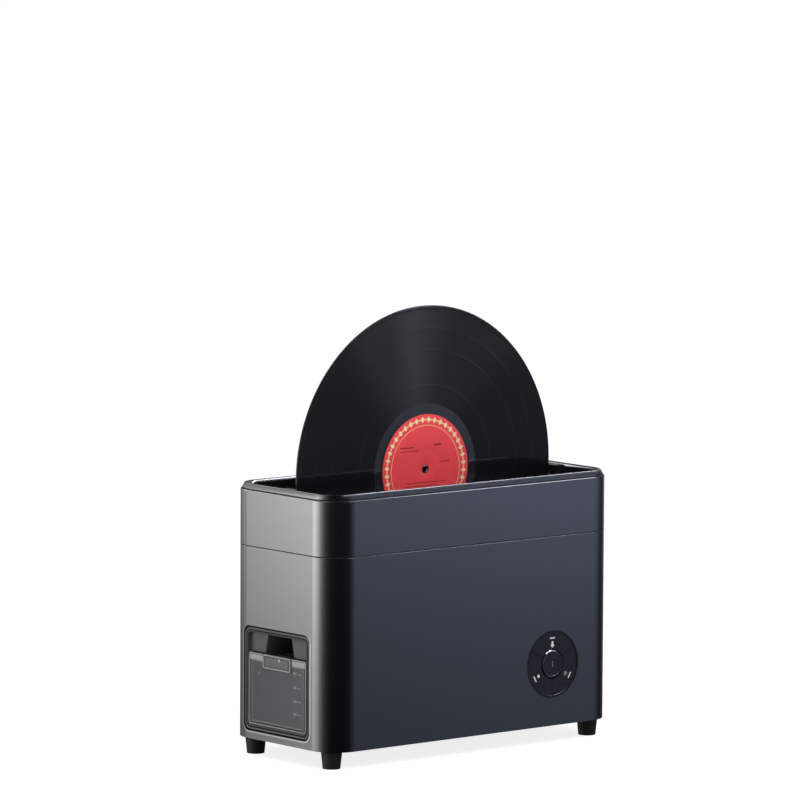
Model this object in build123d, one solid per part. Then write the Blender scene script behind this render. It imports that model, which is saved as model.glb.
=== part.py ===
from build123d import *
from math import cos, radians, sin
import os

os.makedirs("parts", exist_ok=True)

# Ultrasonic record cleaning machine. Millimetres.
# The origin is on the table under the middle of the body. +X is to the right of the control
# panel, +Y is to the back, +Z is up. The water tank slides out to the left, along -X.
# Heights build up from the feet: tank bay, wash basin, record, rim. The width follows the
# record, and the depth follows the drive train in front of the basin.

# Clearances
running_gap = 0.06  # shaft in its bush, radial
assembly_gap = 0.15  # between fixed pieces that drop into each other
slip_gap = 0.3  # between pieces that move past each other
seam_gap = 0.4  # open joint line under the top cover and under the rim
bond_gap = 0.02  # pressed or glued on a shaft, radial

# Record, a standard 12 inch disc
record_radius = 150.8
record_thickness = 1.9
record_bead_thickness = 2.5
record_bead_width = 3.6
record_edge_round = 0.9
record_hub_thickness = 2.7
record_hub_radius = 52.5
spindle_hole_radius = 3.65
label_radius = 50.8
label_thickness = 0.15
label_hole_radius = 3.9

# Feet and base plate
foot_height = 16.5
foot_top_radius = 9.8
foot_bottom_radius = 8.0
foot_inset_x = 16.8  # foot centre in from the body's side
foot_inset_y = 19.55
base_thickness = 3.0

# Body shell
shell_wall = 2.4
corner_radius = 27.0
edge_chamfer = 0.35
side_margin = 19.0  # from the record's edge to the outside of the body

# Tank bay in the left side
bay_sill = 13.0  # body's bottom edge to the bay's clear opening
bay_width = 84.1
bay_height = 84.7
bezel_ring = 5.0
bezel_corner = 8.0
bezel_inner_corner = 4.0
bezel_recess = 0.8
bezel_depth = 3.6
bezel_flange = 3.0
bezel_joint = 0.6
liner_wall = 2.0
liner_rib = 2.0
rib_places = (0.15, 0.5, 0.85)  # shares of the liner's length

# Water tank
tank_length = 100.6
tank_wall = 1.8
tank_corner = 1.2
tank_side_gap = 0.55
tank_front_recess = 1.2
tank_box_height = 61.2
tank_front_rise = 5.0  # front wall above the top of the box
lid_thickness = 2.2
lid_lip = 1.2
lid_lip_wall = 1.2
lid_gap = 0.6
latch_width = 40.0
latch_drop = 13.0
latch_thickness = 1.0
pour_ring_radius = 9.0
pour_hole_radius = 7.0
pour_ring_height = 1.9
pour_offset_x = 18.6  # pour hole behind the tank's front
pour_offset_y = 8.0
tank_filter_thickness = 6.0
tank_filter_width = 22.0
tank_filter_height = 50.0
tank_filter_gap = 6.2  # in front of the tank's back wall

# Finger recess above the tank
recess_depth = 46.0  # back of the recess behind the body's left face
recess_top_width = 33.6
recess_bottom_width = 43.0

# Wash basin
basin_inner_width = 16.0
basin_wall = 1.5
basin_floor_half = 84.0
basin_end_gap = 6.2
basin_slope_rise = 62.0
basin_floor_gap = 5.4  # under the record's lowest point
basin_over_liner = 0.7
flange_thickness = 1.5
flange_reach = 6.0
gasket_thickness = 1.0

# Rollers that carry and turn the record
roller_angle = 42.0  # from straight down
roller_radius = 9.0
roller_groove_radius = 7.0
roller_width = 9.0
roller_groove_gap = 0.65
roller_shaft_radius = 2.0
bush_radius = 4.0
bush_flange_radius = 6.0
bush_flange = 1.5
clip_radius = 3.6
clip_thickness = 1.0
shaft_end = 0.5

# Gear motor in front of the basin
bracket_standoff = 13.5
bracket_plate = 2.0
bracket_size = 42.0
bracket_foot = 8.0
bracket_hole_radius = 6.5
gearbox_radius = 18.5
gearbox_length = 24.0
motor_radius = 12.5
motor_length = 21.0
motor_wall_gap = 3.85
shaft_engagement = 8.0
coupler_radius = 5.0
coupler_length = 9.0

# Ultrasonic transducers, one on each side of the basin
transducer_height = 52.0  # above the basin's floor
horn_radius = 22.5
horn_neck_radius = 19.0
horn_length = 18.0
piezo_radius = 19.0
piezo_bore = 7.0
piezo_thickness = 5.0
piezo_count = 2
back_mass_length = 14.0
stud_radius = 4.0
stud_head_radius = 6.5
stud_head_length = 4.0
stud_thread = 12.0

# Top cover, rim, tray and record guides
cover_band = 51.0
rim_height = 5.2
record_centre_over_rim = 5.5
rim_bottom_inset = 1.0
rim_top_inset = 3.7
rim_land = 2.5
tray_wall_inset = 6.5
tray_wall = 2.0
rim_chamfer_drop = 2.5
rim_lip = 0.2
tray_flange = 2.0
tray_wall_height = 7.5  # visible wall under the rim's inner chamfer
tray_floor_fall = 6.5
tray_floor_thickness = 2.0
slot_width = 12.0
slot_end_gap = 1.0
slot_skirt_wall = 1.6
skirt_over_basin = 1.5
guide_width = 20.0
guide_below_rim = 1.2

# Chassis deck that carries the basin and centres the top cover
deck_over_seam = 11.5
deck_thickness = 2.5
skirt_over_filter = 11.0  # deck's skirt ends above the filter frame
deck_skirt_wall = 2.0
deck_side_gap = 0.5
post_radius = 4.5
post_liner_gap = 2.0  # from the rear posts to the bay liner

# Screws
screw_radius = 1.5
screw_hole_gap = 0.3
thread_gap = 0.05
screw_head_radius = 3.0
screw_head_height = 2.2
screw_grip = 10.0
screw_tip_gap = 1.0
flat_head_height = 1.6
foot_screw_depth = 8.0  # head's seat above the foot's bottom
lug_size = 10.0
lug_offset_x = 120.0
lug_screw_grip = 6.0

# Blowers, filter and air ducts at the back
blower_offset_x = 72.0
blower_radius = 36.0
blower_thickness = 26.0
blower_wall = 1.5
blower_over_liner = 2.2
blower_neck_width = 44.0
blower_neck_over = 2.0  # above the scroll
blower_inlet_radius = 24.0
impeller_radius = 30.0
impeller_back_gap = 0.7
impeller_bore_wall = 3.0
impeller_blades = 24
impeller_blade_length = 7.0
impeller_blade_thickness = 0.8
impeller_plate = 1.2
impeller_blade_lean = 25.0
blower_pin_radius = 1.5
blower_boss_radius = 5.0
blower_boss_height = 3.0
duct_wall = 1.5
duct_height = 11.0
duct_under_deck = 1.0
filter_width = 200.0
filter_height = 62.0
filter_corner = 6.0
filter_thickness = 7.4
filter_frame_plate = 1.5
filter_frame_rim = 4.0
vent_slot_width = 3.0
vent_slot_pitch = 7.0
vent_slot_height = 46.0
vent_margin = 10.0

# Drain valve under the basin
valve_liner_gap = 2.4  # from the bay liner's back to the valve body
valve_body_size = 22.0
valve_body_height = 16.5
valve_chamber_radius = 8.0
valve_seat_radius = 5.0
valve_seat_thickness = 2.5
valve_floor = 2.0
valve_disc_radius = 7.0
valve_disc_thickness = 2.0
valve_stem_radius = 1.5
valve_stem_engagement = 12.0
valve_travel = 3.0
spout_radius = 3.4
spout_bore = 2.2
spout_drop = 10.5  # spout axis below the basin's underside
spout_reach = 3.2
spout_port_gap = 0.6
solenoid_radius = 9.5
solenoid_length = 22.0

# Control panel in the front
panel_from_right = 76.6
panel_height = 57.3  # above the body's bottom edge
panel_radius = 31.0
panel_ring = 1.5
panel_hole_gap = 0.2
panel_flange = 3.5
panel_flange_thickness = 1.5
panel_floor = 1.5
button_recess = 0.6
button_thickness = 2.6
button_gap = 0.5
button_travel = 0.8
button_floor_gap = 0.3
button_stem_radius = 2.0
button_stem_orbit = 20.0
centre_ring_radius = 13.2
centre_ring_bore = 11.0
centre_ring_chamfer = 1.4
power_button_recess = 0.2
power_button_thickness = 2.6
pcb_thickness = 1.6
panel_tube_depth = 10.2
switch_size = 6.0
switch_height = 2.0
switch_plunger_radius = 1.6
switch_plunger_height = 0.6
window_length = 6.0
window_width = 1.4
window_orbit = 24.2
window_depth = 1.0
mode_angle = 90.0  # round the panel, from its right
wash_angle = 210.0
dry_angle = 330.0

# Electronics and power inlet
board_length = 160.0
board_width = 70.0
board_centre_x = 50.0
board_centre_y = 15.0
board_standoff = 6.5
standoff_radius = 3.0
board_corner_inset = 5.0
transformer_place = (-0.7, -0.4)  # shares of the board's half length and half width
heat_sink_place = (0.25, 0.6)
capacitor_places = ((-0.25, -0.5), (0.05, -0.5), (0.35, -0.5))
transformer_size = (30.0, 26.0, 22.0)
capacitor_radius = 8.0
capacitor_height = 25.0
heat_sink_size = (60.0, 12.0, 30.0)
heat_sink_fins = 5
heat_sink_base = 3.0
heat_sink_fin = 1.2
socket_from_right = 39.8
socket_height = 28.5  # above the body's bottom edge
socket_nose_radius = 5.8
socket_hole_gap = 0.2
socket_bore = 2.75
socket_bore_depth = 9.5
socket_pin_radius = 1.05
socket_pin_recess = 1.0
socket_body = (14.0, 18.0, 12.0)

# Worked out from the sizes above
body_width = 2 * (record_radius + side_margin)
basin_side = basin_inner_width / 2 + basin_wall
bracket_front_y = -(basin_side + bracket_standoff)
gearbox_front_y = bracket_front_y - gearbox_length
motor_front_y = gearbox_front_y - motor_length
body_depth = 2 * (motor_wall_gap + shell_wall - motor_front_y)
half_width = body_width / 2
half_depth = body_depth / 2
inner_x = half_width - shell_wall
inner_y = half_depth - shell_wall

shell_bottom_z = foot_height
base_top_z = shell_bottom_z + base_thickness
bay_floor_z = shell_bottom_z + bay_sill
bay_top_z = bay_floor_z + bay_height
tank_floor_z = bay_floor_z + slip_gap
tank_box_top_z = tank_floor_z + tank_box_height
lid_top_z = tank_box_top_z + lid_thickness
tank_front_top_z = tank_box_top_z + tank_front_rise
liner_ceiling_z = lid_top_z + lid_gap
liner_top_z = liner_ceiling_z + liner_wall
basin_under_z = liner_top_z + basin_over_liner
basin_floor_z = basin_under_z + basin_wall
record_z = basin_floor_z + basin_floor_gap + record_radius
rim_top_z = record_z - record_centre_over_rim
rim_bottom_z = rim_top_z - rim_height
seam_z = rim_bottom_z - cover_band
cover_top_z = rim_bottom_z - seam_gap
deck_top_z = seam_z + deck_over_seam
deck_under_z = deck_top_z - deck_thickness
flange_under_z = deck_top_z + gasket_thickness
basin_top_z = flange_under_z + flange_thickness
basin_end = record_radius + basin_end_gap

foot_x = half_width - foot_inset_x
foot_y = half_depth - foot_inset_y
feet = {
    "front_left": (-foot_x, -foot_y),
    "front_right": (foot_x, -foot_y),
    "rear_left": (-foot_x, foot_y),
    "rear_right": (foot_x, foot_y),
}
foot_places = list(feet.values())
bay_centre_y = foot_y - post_radius - post_liner_gap - liner_wall - bay_width / 2

roller_distance = record_radius + roller_groove_radius + slip_gap
roller_x = roller_distance * sin(radians(roller_angle))
roller_z = record_z - roller_distance * cos(radians(roller_angle))
bush_end_y = basin_side + bush_flange

transducer_z = basin_floor_z + transducer_height

tank_front_x = -half_width + tank_front_recess
tank_back_x = tank_front_x + tank_length
tank_width = bay_width - 2 * tank_side_gap
liner_front_x = -half_width + bezel_recess + bezel_depth
liner_back_x = tank_back_x + 2 * slip_gap
liner_end_x = liner_back_x + liner_wall
recess_back_x = -half_width + recess_depth

blower_z = liner_top_z + blower_over_liner + blower_radius
blower_top_z = blower_z + blower_radius + blower_neck_over
impeller_height = (
    blower_thickness - 2 * blower_wall - blower_boss_height - slip_gap - impeller_back_gap
)
pad_back_y = inner_y - slip_gap
pad_front_y = pad_back_y - filter_thickness
frame_front_y = pad_front_y - filter_frame_plate
blower_front_y = frame_front_y - blower_thickness
duct_top_z = deck_under_z - duct_under_deck
duct_low_z = duct_top_z - duct_height

valve_x = liner_end_x + valve_liner_gap + valve_body_size / 2
valve_bottom_z = basin_under_z - valve_body_height
valve_chamber_low_z = valve_bottom_z + valve_floor
valve_chamber_top_z = basin_under_z - valve_seat_thickness
spout_z = basin_under_z - spout_drop
spout_tip_x = tank_back_x - tank_wall - spout_reach

panel_x = half_width - panel_from_right
panel_z = shell_bottom_z + panel_height
panel_face_y = -half_depth
button_bore = centre_ring_bore - slip_gap
button_angles = {"mode": mode_angle, "wash": wash_angle, "dry": dry_angle}
floor_depth = button_recess + button_thickness + button_travel + button_floor_gap
switch_tip_depth = panel_tube_depth - switch_height - switch_plunger_height
stem_end_depth = switch_tip_depth - button_travel - slip_gap

board_z = base_top_z + board_standoff
socket_x = half_width - socket_from_right
socket_z = shell_bottom_z + socket_height

tray_rim_z = rim_top_z - rim_chamfer_drop - rim_lip
tray_edge_z = tray_rim_z - tray_wall_height
tray_slot_z = tray_edge_z - tray_floor_fall
tray_face_inset = tray_wall_inset + tray_wall
slot_half = record_radius + slot_end_gap
skirt_low_z = basin_top_z + skirt_over_basin


def outline(inset):
    return RectangleRounded(body_width - 2 * inset, body_depth - 2 * inset, corner_radius - inset)


def slab(sketch, low, high):
    return Pos(0, 0, low) * extrude(sketch, amount=high - low)


def body_prism(inset, low, high):
    return slab(outline(inset), low, high)


def body_taper(inset_low, low, inset_high, high):
    return loft([Pos(0, 0, low) * outline(inset_low), Pos(0, 0, high) * outline(inset_high)], ruled=True)


def block(x_low, x_high, y_low, y_high, z_low, z_high):
    centre = Pos((x_low + x_high) / 2, (y_low + y_high) / 2, (z_low + z_high) / 2)
    return centre * Box(x_high - x_low, y_high - y_low, z_high - z_low)


def rod_x(radius, y, z, x_low, x_high):
    return Pos((x_low + x_high) / 2, y, z) * Rot(0, 90, 0) * Cylinder(radius, x_high - x_low)


def rod_y(radius, x, z, y_low, y_high):
    return Pos(x, (y_low + y_high) / 2, z) * Rot(90, 0, 0) * Cylinder(radius, y_high - y_low)


def rod_z(radius, x, y, z_low, z_high):
    return Pos(x, y, (z_low + z_high) / 2) * Cylinder(radius, z_high - z_low)


def plate_x(sketch, y, z, x_low, x_high):
    return extrude(Plane.YZ.offset(x_low) * Pos(y, z) * sketch, amount=x_high - x_low, dir=(1, 0, 0))


def plate_y(sketch, x, z, y_low, y_high):
    return extrude(Plane.XZ.offset(-y_high) * Pos(x, z) * sketch, amount=y_high - y_low, dir=(0, -1, 0))


def group(solids):
    return Compound(children=list(solids))


# Body shell with the openings for the bay, panel, filter and power socket
def make_main_shell():
    top_z = seam_z - seam_gap / 2
    shell = body_prism(0, shell_bottom_z, top_z) - body_prism(shell_wall, shell_bottom_z, top_z)
    shell = chamfer(shell.edges().group_by(Axis.Z)[-1].filter_by(on_outer_wall), edge_chamfer)
    cut_width = bay_width + 2 * bezel_ring
    cut_height = bay_height + 2 * bezel_ring
    bay_z = bay_floor_z + bay_height / 2
    bay_cut = RectangleRounded(cut_width, cut_height, bezel_corner)
    shell -= plate_x(bay_cut, bay_centre_y, bay_z, -half_width, liner_front_x)
    shell -= rod_y(panel_radius + panel_hole_gap, panel_x, panel_z, -half_depth, -inner_y)
    shell -= plate_y(filter_outline(0), 0, blower_z, inner_y, half_depth)
    shell -= rod_y(socket_nose_radius + socket_hole_gap, socket_x, socket_z, inner_y, half_depth)
    for x in (-lug_offset_x, lug_offset_x):
        for side in (-1, 1):
            lug_y = side * (inner_y - lug_size / 2)
            shell += Pos(x, lug_y, base_top_z + lug_size / 2) * Box(lug_size, lug_size, lug_size)
            hole_top = base_top_z + lug_size - base_thickness / 2
            shell -= rod_z(screw_radius + thread_gap, x, lug_y, base_top_z, hole_top)
    return shell


def on_outer_wall(edge):
    box = edge.bounding_box()
    reach = max(abs(box.min.X), abs(box.max.X)) - half_width
    return True if abs(reach) < slip_gap else max(abs(box.min.Y), abs(box.max.Y)) > inner_y + slip_gap


def lug_places():
    lug_y = inner_y - lug_size / 2
    return [(x, y) for x in (-lug_offset_x, lug_offset_x) for y in (-lug_y, lug_y)]


def make_base_plate():
    plate = body_prism(shell_wall + assembly_gap, shell_bottom_z, base_top_z)
    for x, y in foot_places:
        plate -= rod_z(screw_radius + screw_hole_gap, x, y, shell_bottom_z, base_top_z)
    head_top = shell_bottom_z + flat_head_height
    for x, y in lug_places():
        plate -= rod_z(screw_radius + screw_hole_gap, x, y, shell_bottom_z, base_top_z)
        plate -= rod_z(screw_head_radius + screw_hole_gap, x, y, shell_bottom_z, head_top)
    for x, y in board_corners():
        plate += rod_z(standoff_radius, x, y, base_top_z, board_z)
    return plate


def make_foot(x, y):
    foot = Pos(x, y, foot_height / 2) * Cone(foot_bottom_radius, foot_top_radius, foot_height)
    foot -= rod_z(screw_radius + screw_hole_gap, x, y, 0, foot_height)
    return foot - rod_z(screw_head_radius + screw_hole_gap, x, y, 0, foot_screw_depth)


def make_screw(x, y, seat_z, end_z, head_height):
    direction = 1 if end_z > seat_z else -1
    head_z = seat_z - direction * head_height
    head = rod_z(screw_head_radius, x, y, min(seat_z, head_z), max(seat_z, head_z))
    return head + rod_z(screw_radius, x, y, min(seat_z, end_z), max(seat_z, end_z))


def make_base_screws():
    foot_end_z = base_top_z + screw_grip
    lug_seat_z = shell_bottom_z + flat_head_height
    lug_end_z = base_top_z + lug_screw_grip
    screws = [make_screw(x, y, foot_screw_depth, foot_end_z, screw_head_height) for x, y in foot_places]
    screws += [make_screw(x, y, lug_seat_z, lug_end_z, flat_head_height) for x, y in lug_places()]
    return group(screws)


# Chassis inside the shell
def make_post(x, y):
    post = rod_z(post_radius, x, y, base_top_z, deck_under_z)
    hole = screw_radius + thread_gap
    post -= rod_z(hole, x, y, base_top_z, base_top_z + screw_grip + screw_tip_gap)
    return post - rod_z(hole, x, y, deck_under_z - screw_grip - screw_tip_gap, deck_under_z)


def make_chassis_deck():
    inset = shell_wall + deck_side_gap
    skirt_low = blower_z + filter_height / 2 + filter_frame_rim + skirt_over_filter
    deck = body_prism(inset, skirt_low, deck_top_z)
    deck -= body_prism(inset + deck_skirt_wall, skirt_low, deck_under_z)
    end = basin_end + basin_wall + assembly_gap
    side = basin_side + assembly_gap
    deck -= block(-end, end, -side, side, deck_under_z, deck_top_z)
    for x, y in foot_places:
        deck -= rod_z(screw_radius + screw_hole_gap, x, y, deck_under_z, deck_top_z)
    return deck


def make_deck_screws():
    end_z = deck_under_z - screw_grip
    return group(make_screw(x, y, deck_top_z, end_z, screw_head_height) for x, y in foot_places)


# Wash basin: a narrow steel trough that follows the record's lower edge
def basin_profile(top_z):
    shoulder_z = basin_floor_z + basin_slope_rise
    return Polygon(
        (-basin_end, top_z),
        (-basin_end, shoulder_z),
        (-basin_floor_half, basin_floor_z),
        (basin_floor_half, basin_floor_z),
        (basin_end, shoulder_z),
        (basin_end, top_z),
        align=None,
    )


def basin_flange_plate(low, high):
    end = basin_end + basin_wall + flange_reach
    side = basin_side + flange_reach
    return block(-end, end, -side, side, low, high)


def make_wash_basin():
    inner = basin_profile(basin_top_z)
    outer = offset(inner, amount=basin_wall, kind=Kind.INTERSECTION)
    basin = plate_y(outer, 0, 0, -basin_side, basin_side)
    reach = basin_end + basin_wall
    basin -= block(-reach, reach, -basin_side, basin_side, basin_top_z, basin_top_z + 2 * basin_wall)
    basin += basin_flange_plate(flange_under_z, basin_top_z)
    basin -= plate_y(inner, 0, 0, -basin_inner_width / 2, basin_inner_width / 2)
    for x in (-roller_x, roller_x):
        basin -= rod_y(bush_radius + running_gap, x, roller_z, -basin_side, basin_side)
    basin -= rod_z(valve_seat_radius, valve_x, 0, basin_under_z, basin_floor_z)
    for x in (-blower_offset_x, blower_offset_x):
        mouth = blower_neck_width / 2 - duct_wall
        basin -= block(x - mouth, x + mouth, 0, basin_side, duct_low_z + duct_wall, duct_top_z - duct_wall)
    return basin


def make_basin_gasket():
    end = basin_end + basin_wall + assembly_gap
    side = basin_side + assembly_gap
    gasket = basin_flange_plate(deck_top_z, flange_under_z)
    return gasket - block(-end, end, -side, side, deck_top_z, flange_under_z)


# Rollers, shafts and bushes
def make_roller(x):
    half = roller_width / 2
    groove_half = record_bead_thickness / 2 + roller_groove_gap
    roller = rod_y(roller_radius, x, roller_z, -half, half)
    groove = rod_y(roller_radius, x, roller_z, -groove_half, groove_half)
    groove -= rod_y(roller_groove_radius, x, roller_z, -groove_half, groove_half)
    return roller - groove - rod_y(roller_shaft_radius + bond_gap, x, roller_z, -half, half)


def make_bush(x, side):
    y_in = basin_inner_width / 2
    low, high = sorted((side * y_in, side * basin_side))
    bush = rod_y(bush_radius, x, roller_z, low, high)
    low_flange, high_flange = sorted((side * basin_side, side * bush_end_y))
    bush += rod_y(bush_flange_radius, x, roller_z, low_flange, high_flange)
    return bush - rod_y(roller_shaft_radius + running_gap, x, roller_z, -bush_end_y, bush_end_y)


def make_shaft(x, front_y):
    back_y = bush_end_y + slip_gap + clip_thickness + shaft_end
    return rod_y(roller_shaft_radius, x, roller_z, front_y, back_y)


def make_clip(x, side):
    near = side * (bush_end_y + slip_gap)
    far = near + side * clip_thickness
    low, high = sorted((near, far))
    clip = rod_y(clip_radius, x, roller_z, low, high)
    return clip - rod_y(roller_shaft_radius + bond_gap, x, roller_z, low, high)


def make_shaft_coupler():
    back = -(bush_end_y + slip_gap + clip_thickness)
    coupler = rod_y(coupler_radius, roller_x, roller_z, back - coupler_length, back)
    return coupler - rod_y(roller_shaft_radius + bond_gap, roller_x, roller_z, back - coupler_length, back)


# Gear motor hung from the deck in front of the basin
def make_gearbox():
    box = rod_y(gearbox_radius, roller_x, roller_z, gearbox_front_y, bracket_front_y)
    bore_y = bracket_front_y - shaft_engagement - slip_gap
    return box - rod_y(roller_shaft_radius + running_gap, roller_x, roller_z, bore_y, bracket_front_y)


def make_drive_motor():
    return rod_y(motor_radius, roller_x, roller_z, motor_front_y, gearbox_front_y)


def make_motor_bracket():
    x_low = roller_x - bracket_size / 2
    x_high = roller_x + bracket_size / 2
    z_low = roller_z - bracket_size / 2
    back_y = bracket_front_y + bracket_plate
    plate = block(x_low, x_high, bracket_front_y, back_y, z_low, deck_under_z)
    plate -= rod_y(bracket_hole_radius, roller_x, roller_z, bracket_front_y, back_y)
    foot_y = back_y - bracket_plate - bracket_foot
    return plate + block(x_low, x_high, foot_y, back_y, deck_under_z - bracket_plate, deck_under_z)


# Bolted ultrasonic transducers, stacked outwards from the basin wall
def stack_rod(radius, side, near, far):
    low, high = sorted((side * near, side * far))
    return rod_y(radius, 0, transducer_z, low, high)


def make_horn(side):
    far = basin_side + horn_length
    centre_y = side * (basin_side + horn_length / 2)
    cone = Cone(horn_radius, horn_neck_radius, horn_length)
    horn = Pos(0, centre_y, transducer_z) * Rot(-90 * side, 0, 0) * cone
    return horn - stack_rod(stud_radius + running_gap, side, far - stud_thread, far)


def make_piezo_rings(side):
    first = basin_side + horn_length
    rings = []
    for index in range(piezo_count):
        near = first + index * piezo_thickness
        ring = stack_rod(piezo_radius, side, near, near + piezo_thickness)
        rings.append(ring - stack_rod(piezo_bore, side, near, near + piezo_thickness))
    return rings


def back_mass_span():
    near = basin_side + horn_length + piezo_count * piezo_thickness
    return near, near + back_mass_length


def make_back_mass(side):
    near, far = back_mass_span()
    return stack_rod(piezo_radius, side, near, far) - stack_rod(stud_radius + running_gap, side, near, far)


def make_stud(side):
    far = back_mass_span()[1]
    start = basin_side + horn_length - stud_thread
    head = stack_rod(stud_head_radius, side, far, far + stud_head_length)
    return stack_rod(stud_radius, side, start, far) + head


# Drain valve under the basin, with its spout into the tank
def make_valve_body():
    half = valve_body_size / 2
    body = block(valve_x - half, valve_x + half, -half, half, valve_bottom_z, basin_under_z)
    body += rod_x(spout_radius, 0, spout_z, spout_tip_x, valve_x)
    body -= rod_z(valve_chamber_radius, valve_x, 0, valve_chamber_low_z, valve_chamber_top_z)
    body -= rod_z(valve_seat_radius, valve_x, 0, valve_chamber_top_z, basin_under_z)
    body -= rod_z(valve_stem_radius + running_gap, valve_x, 0, valve_bottom_z, valve_chamber_low_z)
    return body - rod_x(spout_bore, 0, spout_z, spout_tip_x, valve_x)


def make_plunger():
    disc_top = valve_chamber_top_z - slip_gap
    disc_low = disc_top - valve_disc_thickness
    stem_low = valve_bottom_z - valve_stem_engagement
    disc = rod_z(valve_disc_radius, valve_x, 0, disc_low, disc_top)
    return disc + rod_z(valve_stem_radius, valve_x, 0, stem_low, disc_low)


def make_solenoid():
    low = valve_bottom_z - solenoid_length
    bore_low = valve_bottom_z - valve_stem_engagement - valve_travel - slip_gap
    coil = rod_z(solenoid_radius, valve_x, 0, low, valve_bottom_z)
    return coil - rod_z(valve_stem_radius + running_gap, valve_x, 0, bore_low, valve_bottom_z)


# Tank bay: bezel ring and the liner behind it
def bay_frame(margin, corner):
    return RectangleRounded(bay_width + 2 * margin, bay_height + 2 * margin, corner)


def make_bay_bezel():
    bay_z = bay_floor_z + bay_height / 2
    front = -half_width + bezel_recess
    ring_outline = bay_frame(bezel_ring - bezel_joint, bezel_corner)
    ring = plate_x(ring_outline, bay_centre_y, bay_z, front, liner_front_x)
    flange = bay_frame(bezel_ring + bezel_flange, bezel_corner + bezel_flange)
    flange_plate = plate_x(flange, bay_centre_y, bay_z, -inner_x, liner_front_x)
    ring += flange_plate & body_prism(shell_wall + assembly_gap, shell_bottom_z, seam_z)
    ring -= plate_x(bay_frame(0, bezel_inner_corner), bay_centre_y, bay_z, front, liner_front_x)
    return chamfer(ring.edges().group_by(Axis.X)[0], edge_chamfer)


def make_bay_liner():
    y_low = bay_centre_y - bay_width / 2
    y_high = bay_centre_y + bay_width / 2
    out_low = y_low - liner_wall
    out_high = y_high + liner_wall
    liner = block(liner_front_x, liner_end_x, out_low, out_high, bay_floor_z - liner_wall, liner_top_z)
    back = recess_back_x + liner_wall
    liner += block(liner_front_x, back, out_low, out_high, liner_top_z, bay_top_z + liner_wall)
    liner -= block(liner_front_x, liner_back_x, y_low, y_high, bay_floor_z, liner_ceiling_z)
    hollow = Polygon(
        (bay_centre_y - recess_bottom_width / 2, liner_ceiling_z),
        (bay_centre_y + recess_bottom_width / 2, liner_ceiling_z),
        (bay_centre_y + recess_top_width / 2, bay_top_z),
        (bay_centre_y - recess_top_width / 2, bay_top_z),
        align=None,
    )
    liner -= plate_x(hollow, 0, 0, liner_front_x, recess_back_x)
    pocket_edge = recess_bottom_width / 2 + liner_wall
    pocket_x = liner_front_x + liner_wall
    liner -= block(pocket_x, back, y_low, bay_centre_y - pocket_edge, liner_top_z, bay_top_z)
    liner -= block(pocket_x, back, bay_centre_y + pocket_edge, y_high, liner_top_z, bay_top_z)
    liner -= rod_x(spout_radius + spout_port_gap, 0, spout_z, liner_back_x, liner_end_x)
    span = liner_end_x - liner_front_x
    rib_top = bay_floor_z - liner_wall
    for share in rib_places:
        x = liner_front_x + share * span
        liner += block(x - liner_rib / 2, x + liner_rib / 2, y_low, y_high, base_top_z, rib_top)
    return liner


# Water tank with its lid and filter
def tank_sides():
    return bay_centre_y - tank_width / 2, bay_centre_y + tank_width / 2


def make_water_tank():
    y_low, y_high = tank_sides()
    plan = RectangleRounded(tank_length, tank_width, tank_corner)
    tank = Pos((tank_front_x + tank_back_x) / 2, bay_centre_y) * slab(plan, tank_floor_z, tank_front_top_z)
    section = RectangleRounded(tank_width, 2 * (tank_front_top_z - tank_floor_z), bezel_inner_corner)
    tank &= plate_x(section, bay_centre_y, tank_front_top_z, tank_front_x, tank_back_x)
    inner_front = tank_front_x + tank_wall
    inner_back = tank_back_x - tank_wall
    inner_floor = tank_floor_z + tank_wall
    tank -= block(inner_front, tank_back_x, y_low, y_high, tank_box_top_z, tank_front_top_z)
    tank -= block(inner_front, inner_back, y_low + tank_wall, y_high - tank_wall, inner_floor, tank_box_top_z)
    notch = latch_width / 2 + assembly_gap
    notch_low = bay_centre_y - notch
    notch_high = bay_centre_y + notch
    tank -= block(tank_front_x, inner_front, notch_low, notch_high, tank_box_top_z, tank_front_top_z)
    return tank - rod_x(spout_radius + spout_port_gap, 0, spout_z, inner_back, tank_back_x)


def lid_lip_block(inset):
    y_low, y_high = tank_sides()
    lip_low = tank_box_top_z - lid_lip
    x_low, x_high = tank_front_x + inset, tank_back_x - inset
    return block(x_low, x_high, y_low + inset, y_high - inset, lip_low, tank_box_top_z)


def make_tank_lid():
    y_low, y_high = tank_sides()
    plate_front = tank_front_x + tank_wall + assembly_gap
    plate_back = tank_back_x - tank_corner
    lid = block(plate_front, plate_back, y_low + tank_corner, y_high - tank_corner, tank_box_top_z, lid_top_z)
    lip_inset = tank_wall + assembly_gap
    lid += lid_lip_block(lip_inset) - lid_lip_block(lip_inset + lid_lip_wall)
    latch_low = bay_centre_y - latch_width / 2
    latch_high = bay_centre_y + latch_width / 2
    latch_face = tank_front_x - latch_thickness
    lid += block(latch_face, plate_front, latch_low, latch_high, tank_box_top_z, tank_front_top_z)
    latch_end = tank_front_top_z - latch_drop
    lid += block(latch_face, tank_front_x, latch_low, latch_high, latch_end, tank_box_top_z)
    pour_x = tank_front_x + pour_offset_x
    pour_y = bay_centre_y + pour_offset_y
    lid += rod_z(pour_ring_radius, pour_x, pour_y, lid_top_z, lid_top_z + pour_ring_height)
    return lid - rod_z(pour_hole_radius, pour_x, pour_y, tank_box_top_z, lid_top_z + pour_ring_height)


def make_tank_filter():
    back = tank_back_x - tank_wall - tank_filter_gap
    half = tank_filter_width / 2
    low = tank_floor_z + tank_wall
    return block(back - tank_filter_thickness, back, -half, half, low, low + tank_filter_height)


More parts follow.
